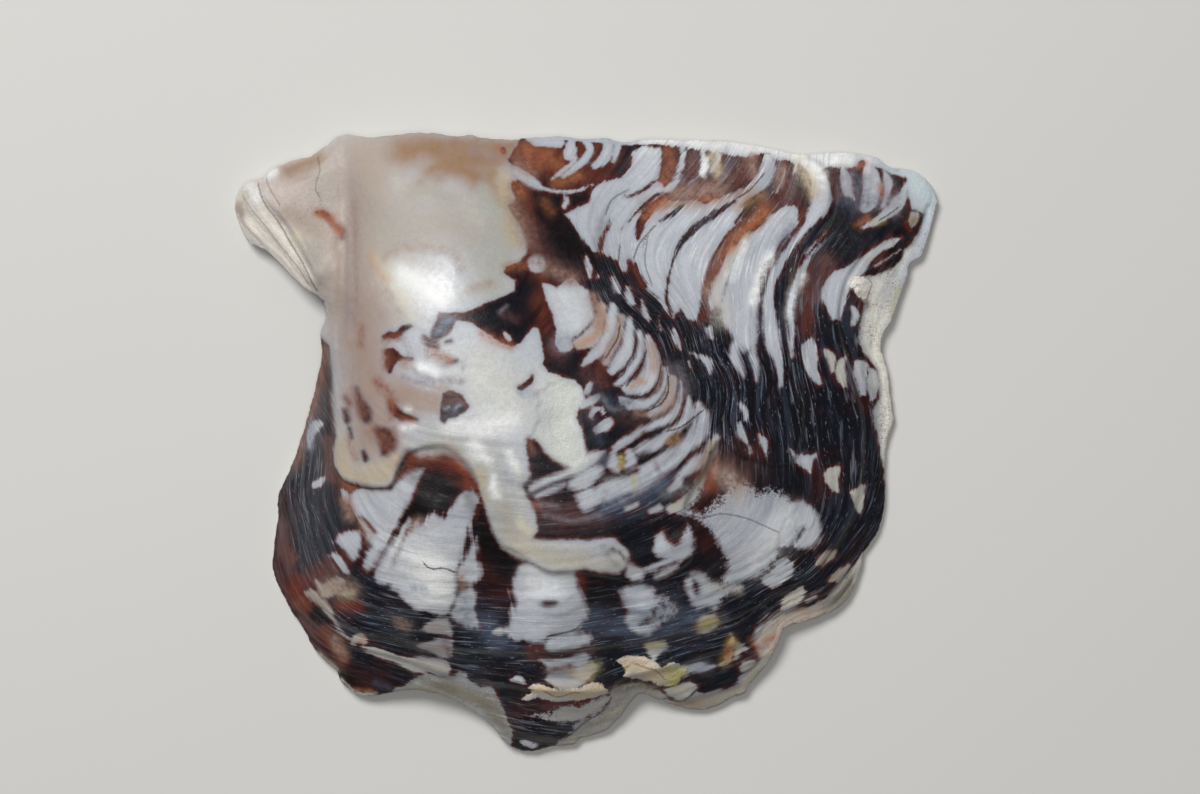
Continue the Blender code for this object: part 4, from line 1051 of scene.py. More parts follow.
    ("mauve_grey", 0.4, 7, [(869, 176), (866, 204)]),
    ("mauve_grey", 0.4, 7, [(888, 182), (884, 200)]),
    ("mauve_grey", 0.4, 7, [(902, 196), (896, 212)]),
    ("copper", 0.7, 4, [(859, 165), (865, 164)]),
    ("copper", 0.6, 3, [(880, 184), (881, 194)]),
    ("copper", 0.5, 4, [(858, 225), (868, 218)]),
    ("olive", 0.4, 4, [(874, 222), (882, 220)]),
    ("ochre", 0.5, 4, [(912, 221), (916, 218)]),
    ("red_brown", 0.7, 3.5, [(906, 224), (909, 230)]),
    ("mauve_brown", 0.6, 8, [(826, 262), (818, 284), (812, 296)]),
    ("olive", 0.4, 6, [(899, 290), (894, 312)]),
    ("rust", 0.5, 5, [(858, 298), (868, 304)]),
]

# Where the dark layer's slate streaks and the painted glints show: strength, half width and places
GLINTS = [
    (1.0, 44, [(720, 160), (700, 240), (715, 320), (735, 420)]),
    (1.0, 34, [(770, 165), (750, 230), (750, 330)]),
    (0.7, 40, [(790, 250), (800, 350), (810, 440)]),
    (0.5, 50, [(850, 300), (855, 400), (850, 540)]),
    (0.8, 26, [(310, 420), (302, 490), (318, 560)]),
    (0.9, 40, [(360, 610), (480, 640), (600, 640), (700, 620)]),
    (0.7, 20, [(510, 720), (560, 730)]),
    (0.7, 30, [(800, 560), (760, 600)]),
    (0.4, 40, [(540, 500), (640, 500)]),
    (0.5, 26, [(600, 290), (680, 350)]),
]

# Overlapping laminae: the run from one free edge to the next, where in that run a lamina starts to drop,
# its height, how far its edge wanders, as reach, cell and level of the noise, and where laminae show, as
# strength, half width and places
LAMINA_RUN = 17.0
LAMINA_TOP = 0.82
LAMINA_HEIGHT = 0.16
LAMINA_WANDER = [(9, 34, 0.0), (4, 11, 5.0)]
LAMINAE = [
    (1.0, 30, [(320, 640), (400, 660), (480, 690), (560, 690), (640, 680), (720, 660), (790, 610),
        (850, 560)]),
    (0.8, 26, [(300, 430), (290, 500), (285, 570), (305, 620)]),
    (0.8, 30, [(870, 530), (885, 440), (870, 360), (870, 290), (905, 220)]),
    (0.25, 24, [(250, 195), (275, 235), (305, 280)]),
    (0.5, 60, [(420, 600), (560, 620), (700, 600), (800, 540)]),
    (0.3, 60, [(700, 170), (720, 300), (760, 420)]),
]

# Hollow with a chalky floor, on top of the dome
CHALK_DEPTH = 0.12
CHALK = [
    (536, 392), (556, 378), (578, 384), (586, 398), (580, 410), (584, 440), (588, 460), (572, 470),
    (552, 460), (540, 448), (528, 438), (536, 420),
]

# Inside: how wide the dull border is, the scar of the closing muscle, and the nacre's colours
INNER_BORDER = 46.0
MUSCLE_SCAR = [
    (560, 400), (600, 385), (650, 400), (668, 440), (650, 490), (600, 515), (565, 500), (575, 450),
]

NACRE_GREY = (0.62, 0.60, 0.57, 1.0)
NACRE_GREEN = (0.56, 0.62, 0.60, 1.0)
NACRE_PINK = (0.68, 0.56, 0.56, 1.0)
SCAR_GREY = (0.44, 0.46, 0.44, 1.0)

# Where growth lines are worn smooth, and where they stay sharp though near the beak: strength,
# half width and places
SMOOTH_PLACES = [
    (0.75, 50, [(450, 360), (490, 420), (510, 500), (530, 560), (600, 560)]),
    (0.8, 40, [(360, 330), (370, 400), (370, 460)]),
    (0.5, 60, [(330, 180), (300, 200)]),
    (1.0, 26, [(430, 480), (450, 480)]),
    (1.0, 26, [(560, 390), (566, 450)]),
]
STRIATED_PLACES = [
    (0.5, 14, [(252, 200), (275, 235), (310, 285)]),
    (0.4, 20, [(600, 150), (700, 160), (780, 165)]),
]

# Rays of the later growth fan out from this point; the angle is measured along a circle of this radius
FAN_CENTRE = np.array((462.0, 385.0))
FAN_RADIUS = 160.0

# Where the dark layer fades into the pale one without a crisp edge: strength, half width and places
BLURS = [
    (0.55, 24, [(350, 395), (372, 428), (392, 442)]),
    (1.0, 20, [(402, 462), (420, 448), (445, 448), (468, 466)]),
    (0.4, 12, [(528, 195), (530, 230), (538, 255)]),
    (0.35, 24, [(712, 500), (720, 560), (740, 590)]),
    (0.35, 24, [(760, 500), (820, 530)]),
    (0.35, 34, [(355, 390), (370, 430), (395, 440)]),
    (0.3, 20, [(430, 340), (450, 360)]),
    (0.25, 24, [(600, 310), (630, 350), (670, 410)]),
    (0.3, 30, [(730, 300), (750, 380)]),
    (0.4, 14, [(335, 225), (342, 237)]),
    (0.2, 24, [(330, 540), (320, 600), (340, 660)]),
    (0.4, 40, [(560, 490), (640, 480), (690, 430)]),
    (0.35, 60, [(400, 540), (560, 610), (700, 600)]),
]

# Where the rays of the later growth comb that edge: strength, half width and places
COMBED_PLACES = [
    (0.4, 9, [(400, 522), (388, 545), (378, 562)]),
    (0.4, 12, [(444, 514), (422, 520)]),
    (0.4, 10, [(472, 530), (462, 560)]),
    (0.4, 12, [(512, 590), (514, 640)]),
    (0.4, 12, [(586, 590), (588, 640)]),
    (0.4, 14, [(482, 560), (480, 620)]),
    (0.4, 14, [(630, 600), (660, 620)]),
]

# Where the surface is dull: strength, half width and places
DULL_PLACES = [
    (0.6, 8, [(932, 222), (920, 250)]),
    (0.7, 12, [(604, 552), (624, 560)]),
    (0.9, 50, [(262, 205), (310, 200), (320, 250)]),
    (0.5, 30, [(370, 150), (430, 150), (510, 150)]),
    (0.9, 24, [(560, 392), (566, 450)]),
    (1.0, 26, [(430, 480), (450, 484)]),
    (0.6, 16, [(540, 690), (600, 690), (650, 668)]),
]

# Where the pale layer's edge breaks up into grains: strength, half width and places
DUSTY_PLACES = [
    (1.0, 20, [(712, 508), (738, 490), (775, 496)]),
    (0.5, 40, [(725, 525), (770, 540)]),
    (0.7, 14, [(662, 604), (672, 612)]),
    (0.8, 12, [(545, 712), (600, 706)]),
    (0.6, 14, [(722, 560), (722, 590)]),
]

# Stage, in metres: the floor's half side, each soft light's place and width, and how near the camera sees
FLOOR_SIZE = 1.5
MAIN_LIGHT = ((-0.13, 0.21, 0.36), 0.18)
OVERHEAD_LIGHT = ((0.02, -0.03, 0.45), 0.10)
NEAREST_SEEN = 0.01


def linear(level):
    """A level read on a screen, 0 to 255, as the linear value that a shader takes."""
    share = level / 255
    return share / 12.92 if level < 11 else ((share + 0.055) / 1.055) ** 2.4


def colour(name, description, *levels):
    """A colour setting whose default is read on a screen."""
    return bpy.props.FloatVectorProperty(
        name=name, description=description, subtype="COLOR", size=3, min=0.0, max=1.0,
        default=tuple(map(linear, levels)),
    )


class ShellPalette(bpy.types.PropertyGroup):
    """Colours of the valve's layers."""

    lilac_white: colour("Lilac white", "Broad cool white streaks", 194, 199, 207)
    cool_white: colour("Cool white", "Clean white blocks", 216, 221, 224)
    bright_white: colour("Bright white", "Worn white rim and highlight", 244, 245, 243)
    nacre_white: colour("Nacre white", "Blue-white tip of the wing", 208, 224, 228)
    warm_cream: colour("Warm cream", "Worn middle of the dome", 214, 215, 209)
    cream: colour("Cream", "Lip of the young shell", 200, 194, 178)
    cream_tan: colour("Cream tan", "Flap over the left side", 190, 174, 148)
    cream_grey: colour("Cream grey", "Lamellae near the rim", 190, 186, 176)
    cream_yellow: colour("Cream yellow", "Pale flecks near the rim", 214, 208, 184)
    tan: colour("Tan", "Beak", 154, 116, 80)
    pinkish_tan: colour("Pinkish tan", "Flank under the beak", 162, 138, 124)
    pale_tan: colour("Pale tan", "Left side of the beak", 180, 163, 148)
    pearl_shade: colour("Pearl shade", "Shaded pearl beside the highlight", 178, 178, 170)
    ember: colour("Ember", "Orange-red glow round the black wedge", 134, 58, 30)
    ochre: colour("Ochre", "Deep yellow flecks near the rim", 158, 130, 62)
    dark_olive: colour("Dark olive", "Grime on the rim", 106, 99, 80)
    shade_grey: colour("Shade grey", "Thin white over the dark layer", 138, 140, 144)
    rust_tan: colour("Rust tan", "Soft brown stains of the flank", 138, 90, 72)
    ear_white: colour("Ear white", "Free edges of the strata of the ear", 242, 234, 221)
    ear_grey: colour("Ear grey", "Ear", 205, 190, 180)
    pinkish_grey: colour("Pinkish grey", "Faint pink clouds", 182, 168, 160)
    orange_tan: colour("Orange tan", "Worn spots between the rows", 192, 150, 122)
    pearl_grey: colour("Pearl grey", "Shoulder of the dome", 178, 172, 162)
    chalk: colour("Chalk", "Hollow where the outer layer flaked off", 226, 229, 221)
    blue_grey: colour("Blue grey", "White with the dark layer showing through", 132, 142, 158)
    olive: colour("Olive", "Stained flecks", 186, 176, 118)
    yellow: colour("Yellow", "Bright stained flecks", 206, 182, 112)
    rim_cream: colour("Rim cream", "Bare rim of the wing side", 236, 232, 219)
    margin_grey: colour("Margin grey", "Rim where the dark layer stops short", 142, 136, 120)
    crust: colour("Crust", "Chalky crust", 216, 197, 166)
    navy_black: colour("Navy black", "Dark outer layer", 15, 18, 28)
    slate_black: colour("Slate black", "Dark layer of the left side", 26, 30, 42)
    brown_black: colour("Brown black", "Deepest brown", 14, 8, 9)
    dark_red: colour("Dark red", "Red-brown shading of the dark layer", 52, 22, 22)
    dark_plum: colour("Dark plum", "Brown spots of the tan flank", 66, 40, 40)
    rust: colour("Rust", "Worn edges of dark streaks", 92, 46, 36)
    orange_brown: colour("Orange brown", "Thin dark layer over white", 128, 74, 52)
    mauve_brown: colour("Mauve brown", "Bruised brown under the lip", 92, 62, 60)
    red_brown: colour("Red brown", "Deep red edges of dark streaks", 98, 40, 30)
    copper: colour("Copper", "Bright orange-brown streaks", 166, 102, 70)
    fawn: colour("Fawn", "Greyish brown stains", 156, 126, 112)
    mauve_grey: colour("Mauve grey", "Shaded stripes of the wing", 142, 134, 142)
    slate: colour("Slate", "Blue-grey shading of the dark layer", 70, 78, 96)
    # Seam and shadow: cracks and hairline seams, and the painted shadow lines under ledges
    seam: colour("Seam", "Cracks and hairline seams", 58, 40, 38)
    # Silver: colour of the painted glints along the growth lines
    silver: colour("Silver", "Fine glinting growth lines", 158, 162, 174)


class ShellSizes(bpy.types.PropertyGroup):
    """Sizes of the valve's fine relief."""

    relief: bpy.props.FloatProperty(
        name="Relief", description="Height of folds, scale edges and ledges against the measured ones",
        default=1.0, min=0.0, max=1.2, subtype="FACTOR",
    )
    margin_drop: bpy.props.FloatProperty(
        name="Margin drop", description="How far the pale rim lies below the dark outer layer",
        default=0.16 * MM, min=0.0, max=0.5 * MM, unit="LENGTH",
    )
    crust_height: bpy.props.FloatProperty(
        name="Crust height", description="How far the crust stands up",
        default=0.12 * MM, min=0.0, max=0.8 * MM, unit="LENGTH",
    )
    ripple: bpy.props.FloatProperty(
        name="Ripple", description="Height of the growth ripples",
        default=0.07 * MM, min=0.0, max=0.2 * MM, unit="LENGTH",
    )
    roughness: bpy.props.FloatProperty(
        name="Roughness", description="Roughness of the polished outer layer",
        default=0.34, min=0.0, max=1.0, subtype="FACTOR",
    )


class StageSettings(bpy.types.PropertyGroup):
    """Floor, light and camera."""

    floor: colour("Floor", "Colour of the floor", 214, 213, 209)
    key_power: bpy.props.FloatProperty(
        name="Main light", description="Power of the large soft light", default=1.4, min=0.0, unit="POWER"
    )
    fill_power: bpy.props.FloatProperty(
        name="Fill light", description="Power of the overhead light", default=0.4, min=0.0, unit="POWER"
    )
    sky: bpy.props.FloatProperty(
        name="Sky", description="Strength of the even light from all round", default=0.12, min=0.0
    )
    focal_length: bpy.props.FloatProperty(
        name="Focal length", description="Lens of the camera, in millimetres", default=FOCAL_LENGTH, min=20.0
    )


def smooth_line(points, per_span=8):
    """A Catmull-Rom curve through the points, which may carry a height as well as a place."""
    p = np.array(points, float)
    p = np.vstack((2 * p[0] - p[1], p, 2 * p[-1] - p[-2]))
    t = np.linspace(0.0, 1.0, per_span, endpoint=False)[:, None]
    runs = []
    for a, b, c, d in zip(p, p[1:], p[2:], p[3:]):
        bend = (2 * a - 5 * b + 4 * c - d) * t**2
        runs.append(0.5 * (2 * b + (c - a) * t + bend + (3 * b - a - 3 * c + d) * t**3))
    return np.vstack((*runs, p[-2]))


def along(line, share):
    """Points at these shares of the line's length."""
    steps = np.linalg.norm(np.diff(line[:, :2], axis=0), axis=1)
    length = np.concatenate(([0.0], np.cumsum(steps)))
    return np.stack([np.interp(share * length[-1], length, column) for column in line.T], axis=-1)


def plan(u, v):
    """The valve's plan as a patch between its four rims: u from ear to wing, v from hinge to ventral rim."""
    top, bottom, left, right = (smooth_line(run)[:, :2] for run in (HINGE, VENTRAL_RIM, LEFT_RIM, RIGHT_RIM))
    across, down = u[:, None], v[:, None]
    corners = (
        (1 - across) * (1 - down) * top[0] + across * (1 - down) * top[-1]
        + (1 - across) * down * bottom[0] + across * down * bottom[-1]
    )
    return (
        (1 - down) * along(top, u) + down * along(bottom, u)
        + (1 - across) * along(left, v) + across * along(right, v) - corners
    )


def nearest(points, line):
    """For each point: its gap to the line, how far along that is, 0 to 1, and whether it is left of it."""
    gap = np.full(len(points), np.inf)
    share = np.zeros(len(points))
    is_left = np.zeros(len(points), bool)
    for number, (start, end) in enumerate(zip(line, line[1:])):
        run = end - start
        offset = points - start
        part = np.clip(offset @ run / max(run @ run, 1e-9), 0, 1)
        reach = np.hypot(*(offset - part[:, None] * run).T)
        side = run[0] * offset[:, 1] < run[1] * offset[:, 0]
        closer = reach < gap
        gap[closer] = reach[closer]
        share[closer] = (number + part[closer]) / (len(line) - 1)
        is_left[closer] = side[closer]
    return gap, share, is_left


def inside(points, outline):
    """True where a point lies inside the closed outline."""
    x, y = points.T
    is_inside = np.zeros(len(points), bool)
    for (ax, ay), (bx, by) in zip(outline, np.roll(outline, -1, axis=0)):
        if ay != by:
            is_inside ^= ((ay > y) != (by > y)) & (x < (bx - ax) * (y - ay) / (by - ay) + ax)
    return is_inside


def smoothstep(value):
    """0 below 0 and 1 above 1, with a soft rise between them."""
    value = np.clip(value, 0, 1)
    return value * value * (3 - 2 * value)


def thin_plate(centres, heights):
    """The smoothest sheet through these heights, as a function of place."""

    def bend(a, b):
        square = ((a[:, None] - b[None]) ** 2).sum(2) / 1e4
        return square * np.log(square + 1e-9)

    count = len(centres)
    flat = np.hstack((np.ones((count, 1)), centres / 100))
    system = np.zeros((count + 3, count + 3))
    system[:count, :count] = bend(centres, centres)
    system[:count, count:] = flat
    system[count:, :count] = flat.T
    weights = np.linalg.solve(system, np.concatenate((heights, np.zeros(3))))

    def height(points):
        return bend(points, centres) @ weights[:count] + np.hstack(
            (np.ones((len(points), 1)), points / 100)
        ) @ weights[count:]

    return height


def outer_sheet():
    """The outer face without its relief: height in millimetres, as a function of place."""
    rims = [(x, y, lift + EDGE_WALL) for x, y, lift in RIGHT_RIM[1:] + VENTRAL_RIM[:-1] + LEFT_RIM[1:-1]]
    known = np.array(HINGE + rims + EAR + CREASE + BEAK + DOME + WING + FLANK + VENTRAL, float)
    return thin_plate(known[:, :2], known[:, 2])


def as_photographed(points, heights):
    """Where the camera sees points at these heights: a high one lies further from the picture's middle."""
    nearer = (CAMERA_DISTANCE + FOCUS_HEIGHT) / MM - heights
    return FRAME_CENTRE_PIXEL + (points - FRAME_CENTRE_PIXEL) * (CAMERA_DISTANCE / MM / nearer)[:, None]


def noise_at(places):
    """Smooth noise from -1 to 1 at these places."""
    return np.fromiter((noise.noise(place) for place in places.tolist()), float, len(places))


def young_shell(points):
    """How far each point stands over the later growth because it lies on the young shell."""
    line = smooth_line(YOUNG_EDGE, 4)
    hinge = smooth_line(HINGE, 4)[:, :2]
    over = hinge[hinge[:, 0] < YOUNG_EDGE[-1][0]]
    ear = smooth_line(LEFT_RIM, 4)[:, :2]
    ear = ear[ear[:, 1] < YOUNG_EDGE[0][1]]
    beyond = CENTRE_PIXEL + BEYOND_RIM * (np.vstack((over[::-1], ear)) - CENTRE_PIXEL)
    on_it = inside(points, np.vstack((line, beyond)))
    gap, _, _ = nearest(points, line)
    stations = along(line, np.linspace(0, 1, len(YOUNG_STEP)))
    weights = (((points[:, None] - stations) ** 2).sum(2) + STATION_BLUR**2) ** -2
    step = weights @ np.array(YOUNG_STEP) / weights.sum(1)
    fade = 1 - YOUNG_STEP_LOSES * smoothstep(gap / YOUNG_STEP_FADES_OVER)
    return step * fade * ledge(np.where(on_it, gap, -gap))


def ledge(signed_gap):
    """0 below a ledge, 1 on top of it, with its face centred on the line."""
    return smoothstep(0.5 + signed_gap / LEDGE_RUN)


def scale_edge(points, height, fades_over, line):
    """A scale's free edge: it stands up along the line and sinks back into the sheet behind it."""
    gap, share, is_left = nearest(points, smooth_line(line, 4))
    ends = smoothstep(share * 8) * smoothstep((1 - share) * 8)
    signed = np.where(is_left, gap, -gap)
    return height * ends * ledge(signed) * np.exp(-np.maximum(signed, 0) / fades_over)


def fold(points, height, half_width, line):
    """A rounded fold along the line, or a groove where the height is negative."""
    gap, share, _ = nearest(points, smooth_line(line, 4))
    ends = smoothstep(share * 5) * smoothstep((1 - share) * 12 + 0.4)
    return height * np.exp(-((gap / half_width) ** 2)) * ends


def lump(points, height, half_width, centre):
    """A round swelling, or a hollow where the height is negative."""
    reach = (((points - np.array(centre)) / np.array(half_width)) ** 2).sum(1)
    return height * np.exp(-1.4 * reach)


def relief(points):
    """Folds, scale edges, crust and hollows over the smooth sheet, in millimetres."""
    total = young_shell(points)
    for row in FOLDS:
        total = total + fold(points, *row)
    for row in SCALE_EDGES:
        total = total + scale_edge(points, *row)
    for row in LUMPS:
        total = total + lump(points, *row)
    return total


def growth_across(points):
    """How far each point lies from the beak, measured across the growth lines, in pixels."""
    known = np.array([(x, y, level) for level, line in GROWTH_LINES for x, y in line], float)
    return thin_plate(known[:, :2], known[:, 2])(points)


def patch_depth(points, outline):
    """How deep each point lies inside the patch, in pixels; negative outside it."""
    gap, _, _ = nearest(points, np.vstack((outline, outline[0])))
    return np.where(inside(points, outline), gap, -gap)


def streak_depth(points, line):
    """How deep each point lies inside the streak, in pixels; negative outside it."""
    depth = np.full(len(points), -REACH)
    for start, end in zip(line, line[1:]):
        run = end[:2] - start[:2]
        offset = points - start[:2]
        part = np.clip(offset @ run / max(run @ run, 1e-9), 0, 1)
        gap = np.hypot(*(offset - part[:, None] * run).T)
        depth = np.maximum(depth, start[2] + part * (end[2] - start[2]) - gap)
    return depth


def marked(points, marks):
    """How deep each point lies in the pale layer; negative in the dark one."""
    field = np.full(len(points), -REACH)
    for kind, line in ((kind, line) for kind, lines in marks for line in lines):
        shape = np.array(line, float)
        is_streak = shape.shape[1] == 3
        reach = REACH + (shape[:, 2].max() if is_streak else 0)
        low, high = shape[:, :2].min(0) - reach, shape[:, :2].max(0) + reach
        near = np.all((points > low) & (points < high), axis=1)
        if is_streak:
            depth = streak_depth(points[near], smooth_line(shape, 3))
        else:
            depth = patch_depth(points[near], shape)
        field[near] = np.maximum(field[near], depth) if kind == "pale" else np.minimum(field[near], -depth)
    return np.clip(field, -REACH, REACH)


def depth_in(points, *shapes):
    """How deep each point lies inside any of these patches and streaks; negative outside them."""
    return marked(points, [("pale", shapes)])


def stroke_share(points, half_width, line):
    """How much of an airbrush stroke along the line lands on each point."""
    if len(line) == 1:
        gap = np.hypot(*(points - np.array(line[0])).T)
    else:
        gap, _, _ = nearest(points, np.array(line, float))
    return np.exp(-((gap / half_width) ** 2))


def airbrushed(points, palette, base, strokes):
    """The colour of each point after all the strokes, with a full alpha."""
    colours = np.tile(np.array((*getattr(palette, base), 1.0)), (len(points), 1))
    for name, half_width, line in strokes:
        share = stroke_share(points, half_width, line)[:, None]
        colours += share * (np.array((*getattr(palette, name), 1.0)) - colours)
    return colours


def glazed(points, palette, strokes):
    """Colour and cover of the thin stains, painted highlights and painted shadow that lie over both layers.
    """
    colours = np.zeros((len(points), 4))
    for name, cover, half_width, line in strokes:
        share = cover * stroke_share(points, half_width, line)[:, None]
        colours[:, :3] += share * (np.array(getattr(palette, name)) - colours[:, :3]) / np.maximum(
            share + colours[:, 3:] * (1 - share), 1e-6)
        colours[:, 3:] += share * (1 - colours[:, 3:])
    return colours


def brushed(points, strokes):
    """The strongest of these strokes at each point."""
    strength = np.zeros(len(points))
    for height, half_width, line in strokes:
        strength = np.maximum(strength, height * stroke_share(points, half_width, line))
    return strength


def seam_and_shadow_field(points):
    """For each point: its gap to the nearest crack, hairline or painted shadow line, negative on one side,
    and how dark that line is there.
    """
    field = np.tile((LINE_REACH, 0.0), (len(points), 1))
    for darkness, line in SEAMS_AND_SHADOW_LINES:
        shape = smooth_line(line, 3)
        low, high = shape.min(0) - LINE_REACH, shape.max(0) + LINE_REACH
        near = np.flatnonzero(np.all((points > low) & (points < high), axis=1))
        gap, _, is_left = nearest(points[near], shape)
        closer = gap < np.abs(field[near, 0])
        near, gap, is_left = near[closer], gap[closer], is_left[closer]
        strength = darkness * np.exp(-((gap / LINE_REACH * 2) ** 2))
        field[near] = np.column_stack((np.where(is_left, gap, -gap), strength))
    return field


def rim_line():
    """The valve's whole outline, round once from the ear's end of the hinge."""
    runs = (HINGE, RIGHT_RIM, VENTRAL_RIM[::-1], LEFT_RIM[::-1])
    return np.vstack([smooth_line(run, 4)[:, :2] for run in runs])


class Valve:
    """Places, heights and markings of the corners of the valve's mesh."""

    def __init__(self, square, sizes, palette):
        self.sizes = sizes
        self.palette = palette
        self.rise = (square[:, 2] + 1) / 2
        self.place = plan((square[:, 0] + 1) / 2, (1 - square[:, 1]) / 2)
        self.from_rim, _, _ = nearest(self.place, rim_line())
        self.from_hinge, _, _ = nearest(self.place, smooth_line(HINGE, 4)[:, :2])
        self.sheet = outer_sheet()(self.place)
        self.seen = as_photographed(self.place, self.sheet)
        self.across = growth_across(self.seen)
        self.margin = depth_in(self.seen, *MARGIN)
        self.pale = marked(self.seen, [*MARKS, ("pale", MARGIN)])
        self.crust = depth_in(self.seen, *CRUSTS)
        wander = [self.grain(16, level) + 0.5 * self.grain(5, level + 1) for level in (11.0, 17.0)]
        self.wandering = self.seen + WANDER * np.column_stack(wander)

    def grain(self, cell, level=0.0):
        """Noise from -1 to 1 with cells of this size in plan."""
        x, y = self.place.T / cell
        return noise_at(np.column_stack((x, y, np.full(len(x), level))))

    def streaks(self, cell, length):
        """Noise from -1 to 1, drawn out along the growth lines."""
        x, y = self.place.T / length
        return noise_at(np.column_stack((self.across / cell, x, y)))

    def fine_relief(self):
        """Ripples, laminae, crust and the step down to the pale rim, in millimetres."""
        inland = smoothstep((self.from_rim - 1) / 10)
        older = 0.3 + 0.7 * smoothstep((self.across - WORN_TO) / 150)
        ripple = sum(share * self.streaks(cell, length) for share, cell, length in RIPPLES)
        ripple = self.sizes.ripple / MM * ripple * older
        wander = (reach * self.grain(cell, level) for reach, cell, level in LAMINA_WANDER)
        lamina = sum(wander, self.across) / LAMINA_RUN
        lamina = lamina - np.floor(lamina)
        free_edge = 1 - smoothstep((lamina - LAMINA_TOP) / (1 - LAMINA_TOP))
        laminae = LAMINA_HEIGHT * brushed(self.seen, LAMINAE) * (lamina / LAMINA_TOP * free_edge - 0.5)
        crust = self.sizes.crust_height / MM * smoothstep(self.crust / 3) * (0.8 + 0.5 * self.grain(6, 9.0))
        chalk = CHALK_DEPTH * smoothstep((self.grain(9, 3.0) * 3 + depth_in(self.seen, CHALK)) / 4)
        margin = self.sizes.margin_drop / MM * smoothstep((self.margin + 1.5 + 2 * self.grain(10, 1.0)) / 4)
        folds = sum(fold(self.seen, *row) for row in FINE_FOLDS)
        patches = (crust - chalk) * smoothstep(self.from_rim / 8)
        return folds + (ripple + laminae) * inland + patches - margin * inland

    def heights(self):
        """Height of each corner, in millimetres: the hollow, the outer face, or between them at the rim."""
        sheet = self.sheet
        wall = EDGE_WALL + (BODY_WALL - EDGE_WALL) * smoothstep(self.from_rim / WALL_GROWS_OVER)
        cavity = np.maximum(sheet - wall, 0) * smoothstep((self.from_hinge - HINGE_PLATE) / HINGE_FILLET)
        kept = RIM_RELIEF + (1 - RIM_RELIEF) * smoothstep(self.from_rim / RELIEF_GROWS_OVER)
        outer = np.maximum(sheet, EDGE_WALL) + self.sizes.relief * relief(self.seen) * kept
        outer = np.clip(outer + self.fine_relief(), cavity + THINNEST_WALL, BOX_HIGH[2] / MM - TOP_CLEARANCE)
        return cavity + (outer - cavity) * self.rise

    def points(self):
        """Where each corner lies, in metres, with the rim nibbled and rounded."""
        bite = sum((depth * self.grain(cell, level) for depth, cell, level in NIBBLES), BITE)
        rounding = RIM_ROUNDING * (2 * self.rise - 1) ** 2
        pull = (np.maximum(bite, 0) + rounding) * (1 - smoothstep(self.from_rim / NIBBLES_REACH))
        inward = CENTRE_PIXEL - self.place
        inward /= np.linalg.norm(inward, axis=1)[:, None]
        flat = (self.place + inward * pull[:, None] - CENTRE_PIXEL) * SCALE * np.array((1, -1))
        return np.column_stack((flat, self.heights() * MM))

    def attributes(self):
        """What the materials read from the mesh: name, type and values."""
        x, y = self.place.T * PIXEL_MM
        spread, out = (self.seen - FAN_CENTRE).T
        radius = np.hypot(spread, out)
        fan = np.column_stack((np.arctan2(spread, out) * FAN_RADIUS, radius, np.zeros(len(x)))) * PIXEL_MM
        border = self.from_rim - INNER_BORDER - 10 * self.grain(60, 7.0)
        scar = depth_in(self.place, smooth_line(MUSCLE_SCAR + MUSCLE_SCAR[:1], 4))
        striae = smoothstep((self.across - WORN_TO) / 180) * (1 - brushed(self.seen, SMOOTH_PLACES))
        striae = np.maximum(striae, brushed(self.seen, STRIATED_PLACES))
        combed, glint, blur, dull, dusty = (
            brushed(self.seen, places) for places in (COMBED_PLACES, GLINTS, BLURS, DULL_PLACES, DUSTY_PLACES)
        )
        vectors = {
            "marks": (self.pale, self.crust, combed),
            "surface": (striae, glint, blur),
            "finish": (self.margin, dull, dusty),
            "seams_and_shadows": (*seam_and_shadow_field(self.seen).T, self.rise),
            "fan": fan.T,
            "growth": (self.across * PIXEL_MM, x, y),
            "inner": (border, scar, self.from_hinge),
        }
        glaze_places = 0.6 * self.seen + 0.4 * self.wandering
        colours = {
            "dark_tint": airbrushed(self.wandering, self.palette, "navy_black", DARK_TINTS),
            "pale_tint": airbrushed(self.wandering, self.palette, "lilac_white", PALE_TINTS),
            "glaze": glazed(glaze_places, self.palette, GLAZES),
        }
        return [
            *((name, "FLOAT_VECTOR", "vector", np.column_stack(parts)) for name, parts in vectors.items()),
            *((name, "FLOAT_COLOR", "color", values) for name, values in colours.items()),
        ]


def add_face_grid(mesh, along_cells, down_cells, level):
    """A square sheet of cells from -1 to 1 at this level, and its border edges."""
    made = bmesh.ops.create_grid(mesh, x_segments=along_cells, y_segments=down_cells, size=1.0)["verts"]
    for vertex in made:
        vertex.co.z = level
    return {edge for vertex in made for edge in vertex.link_edges if edge.is_boundary}


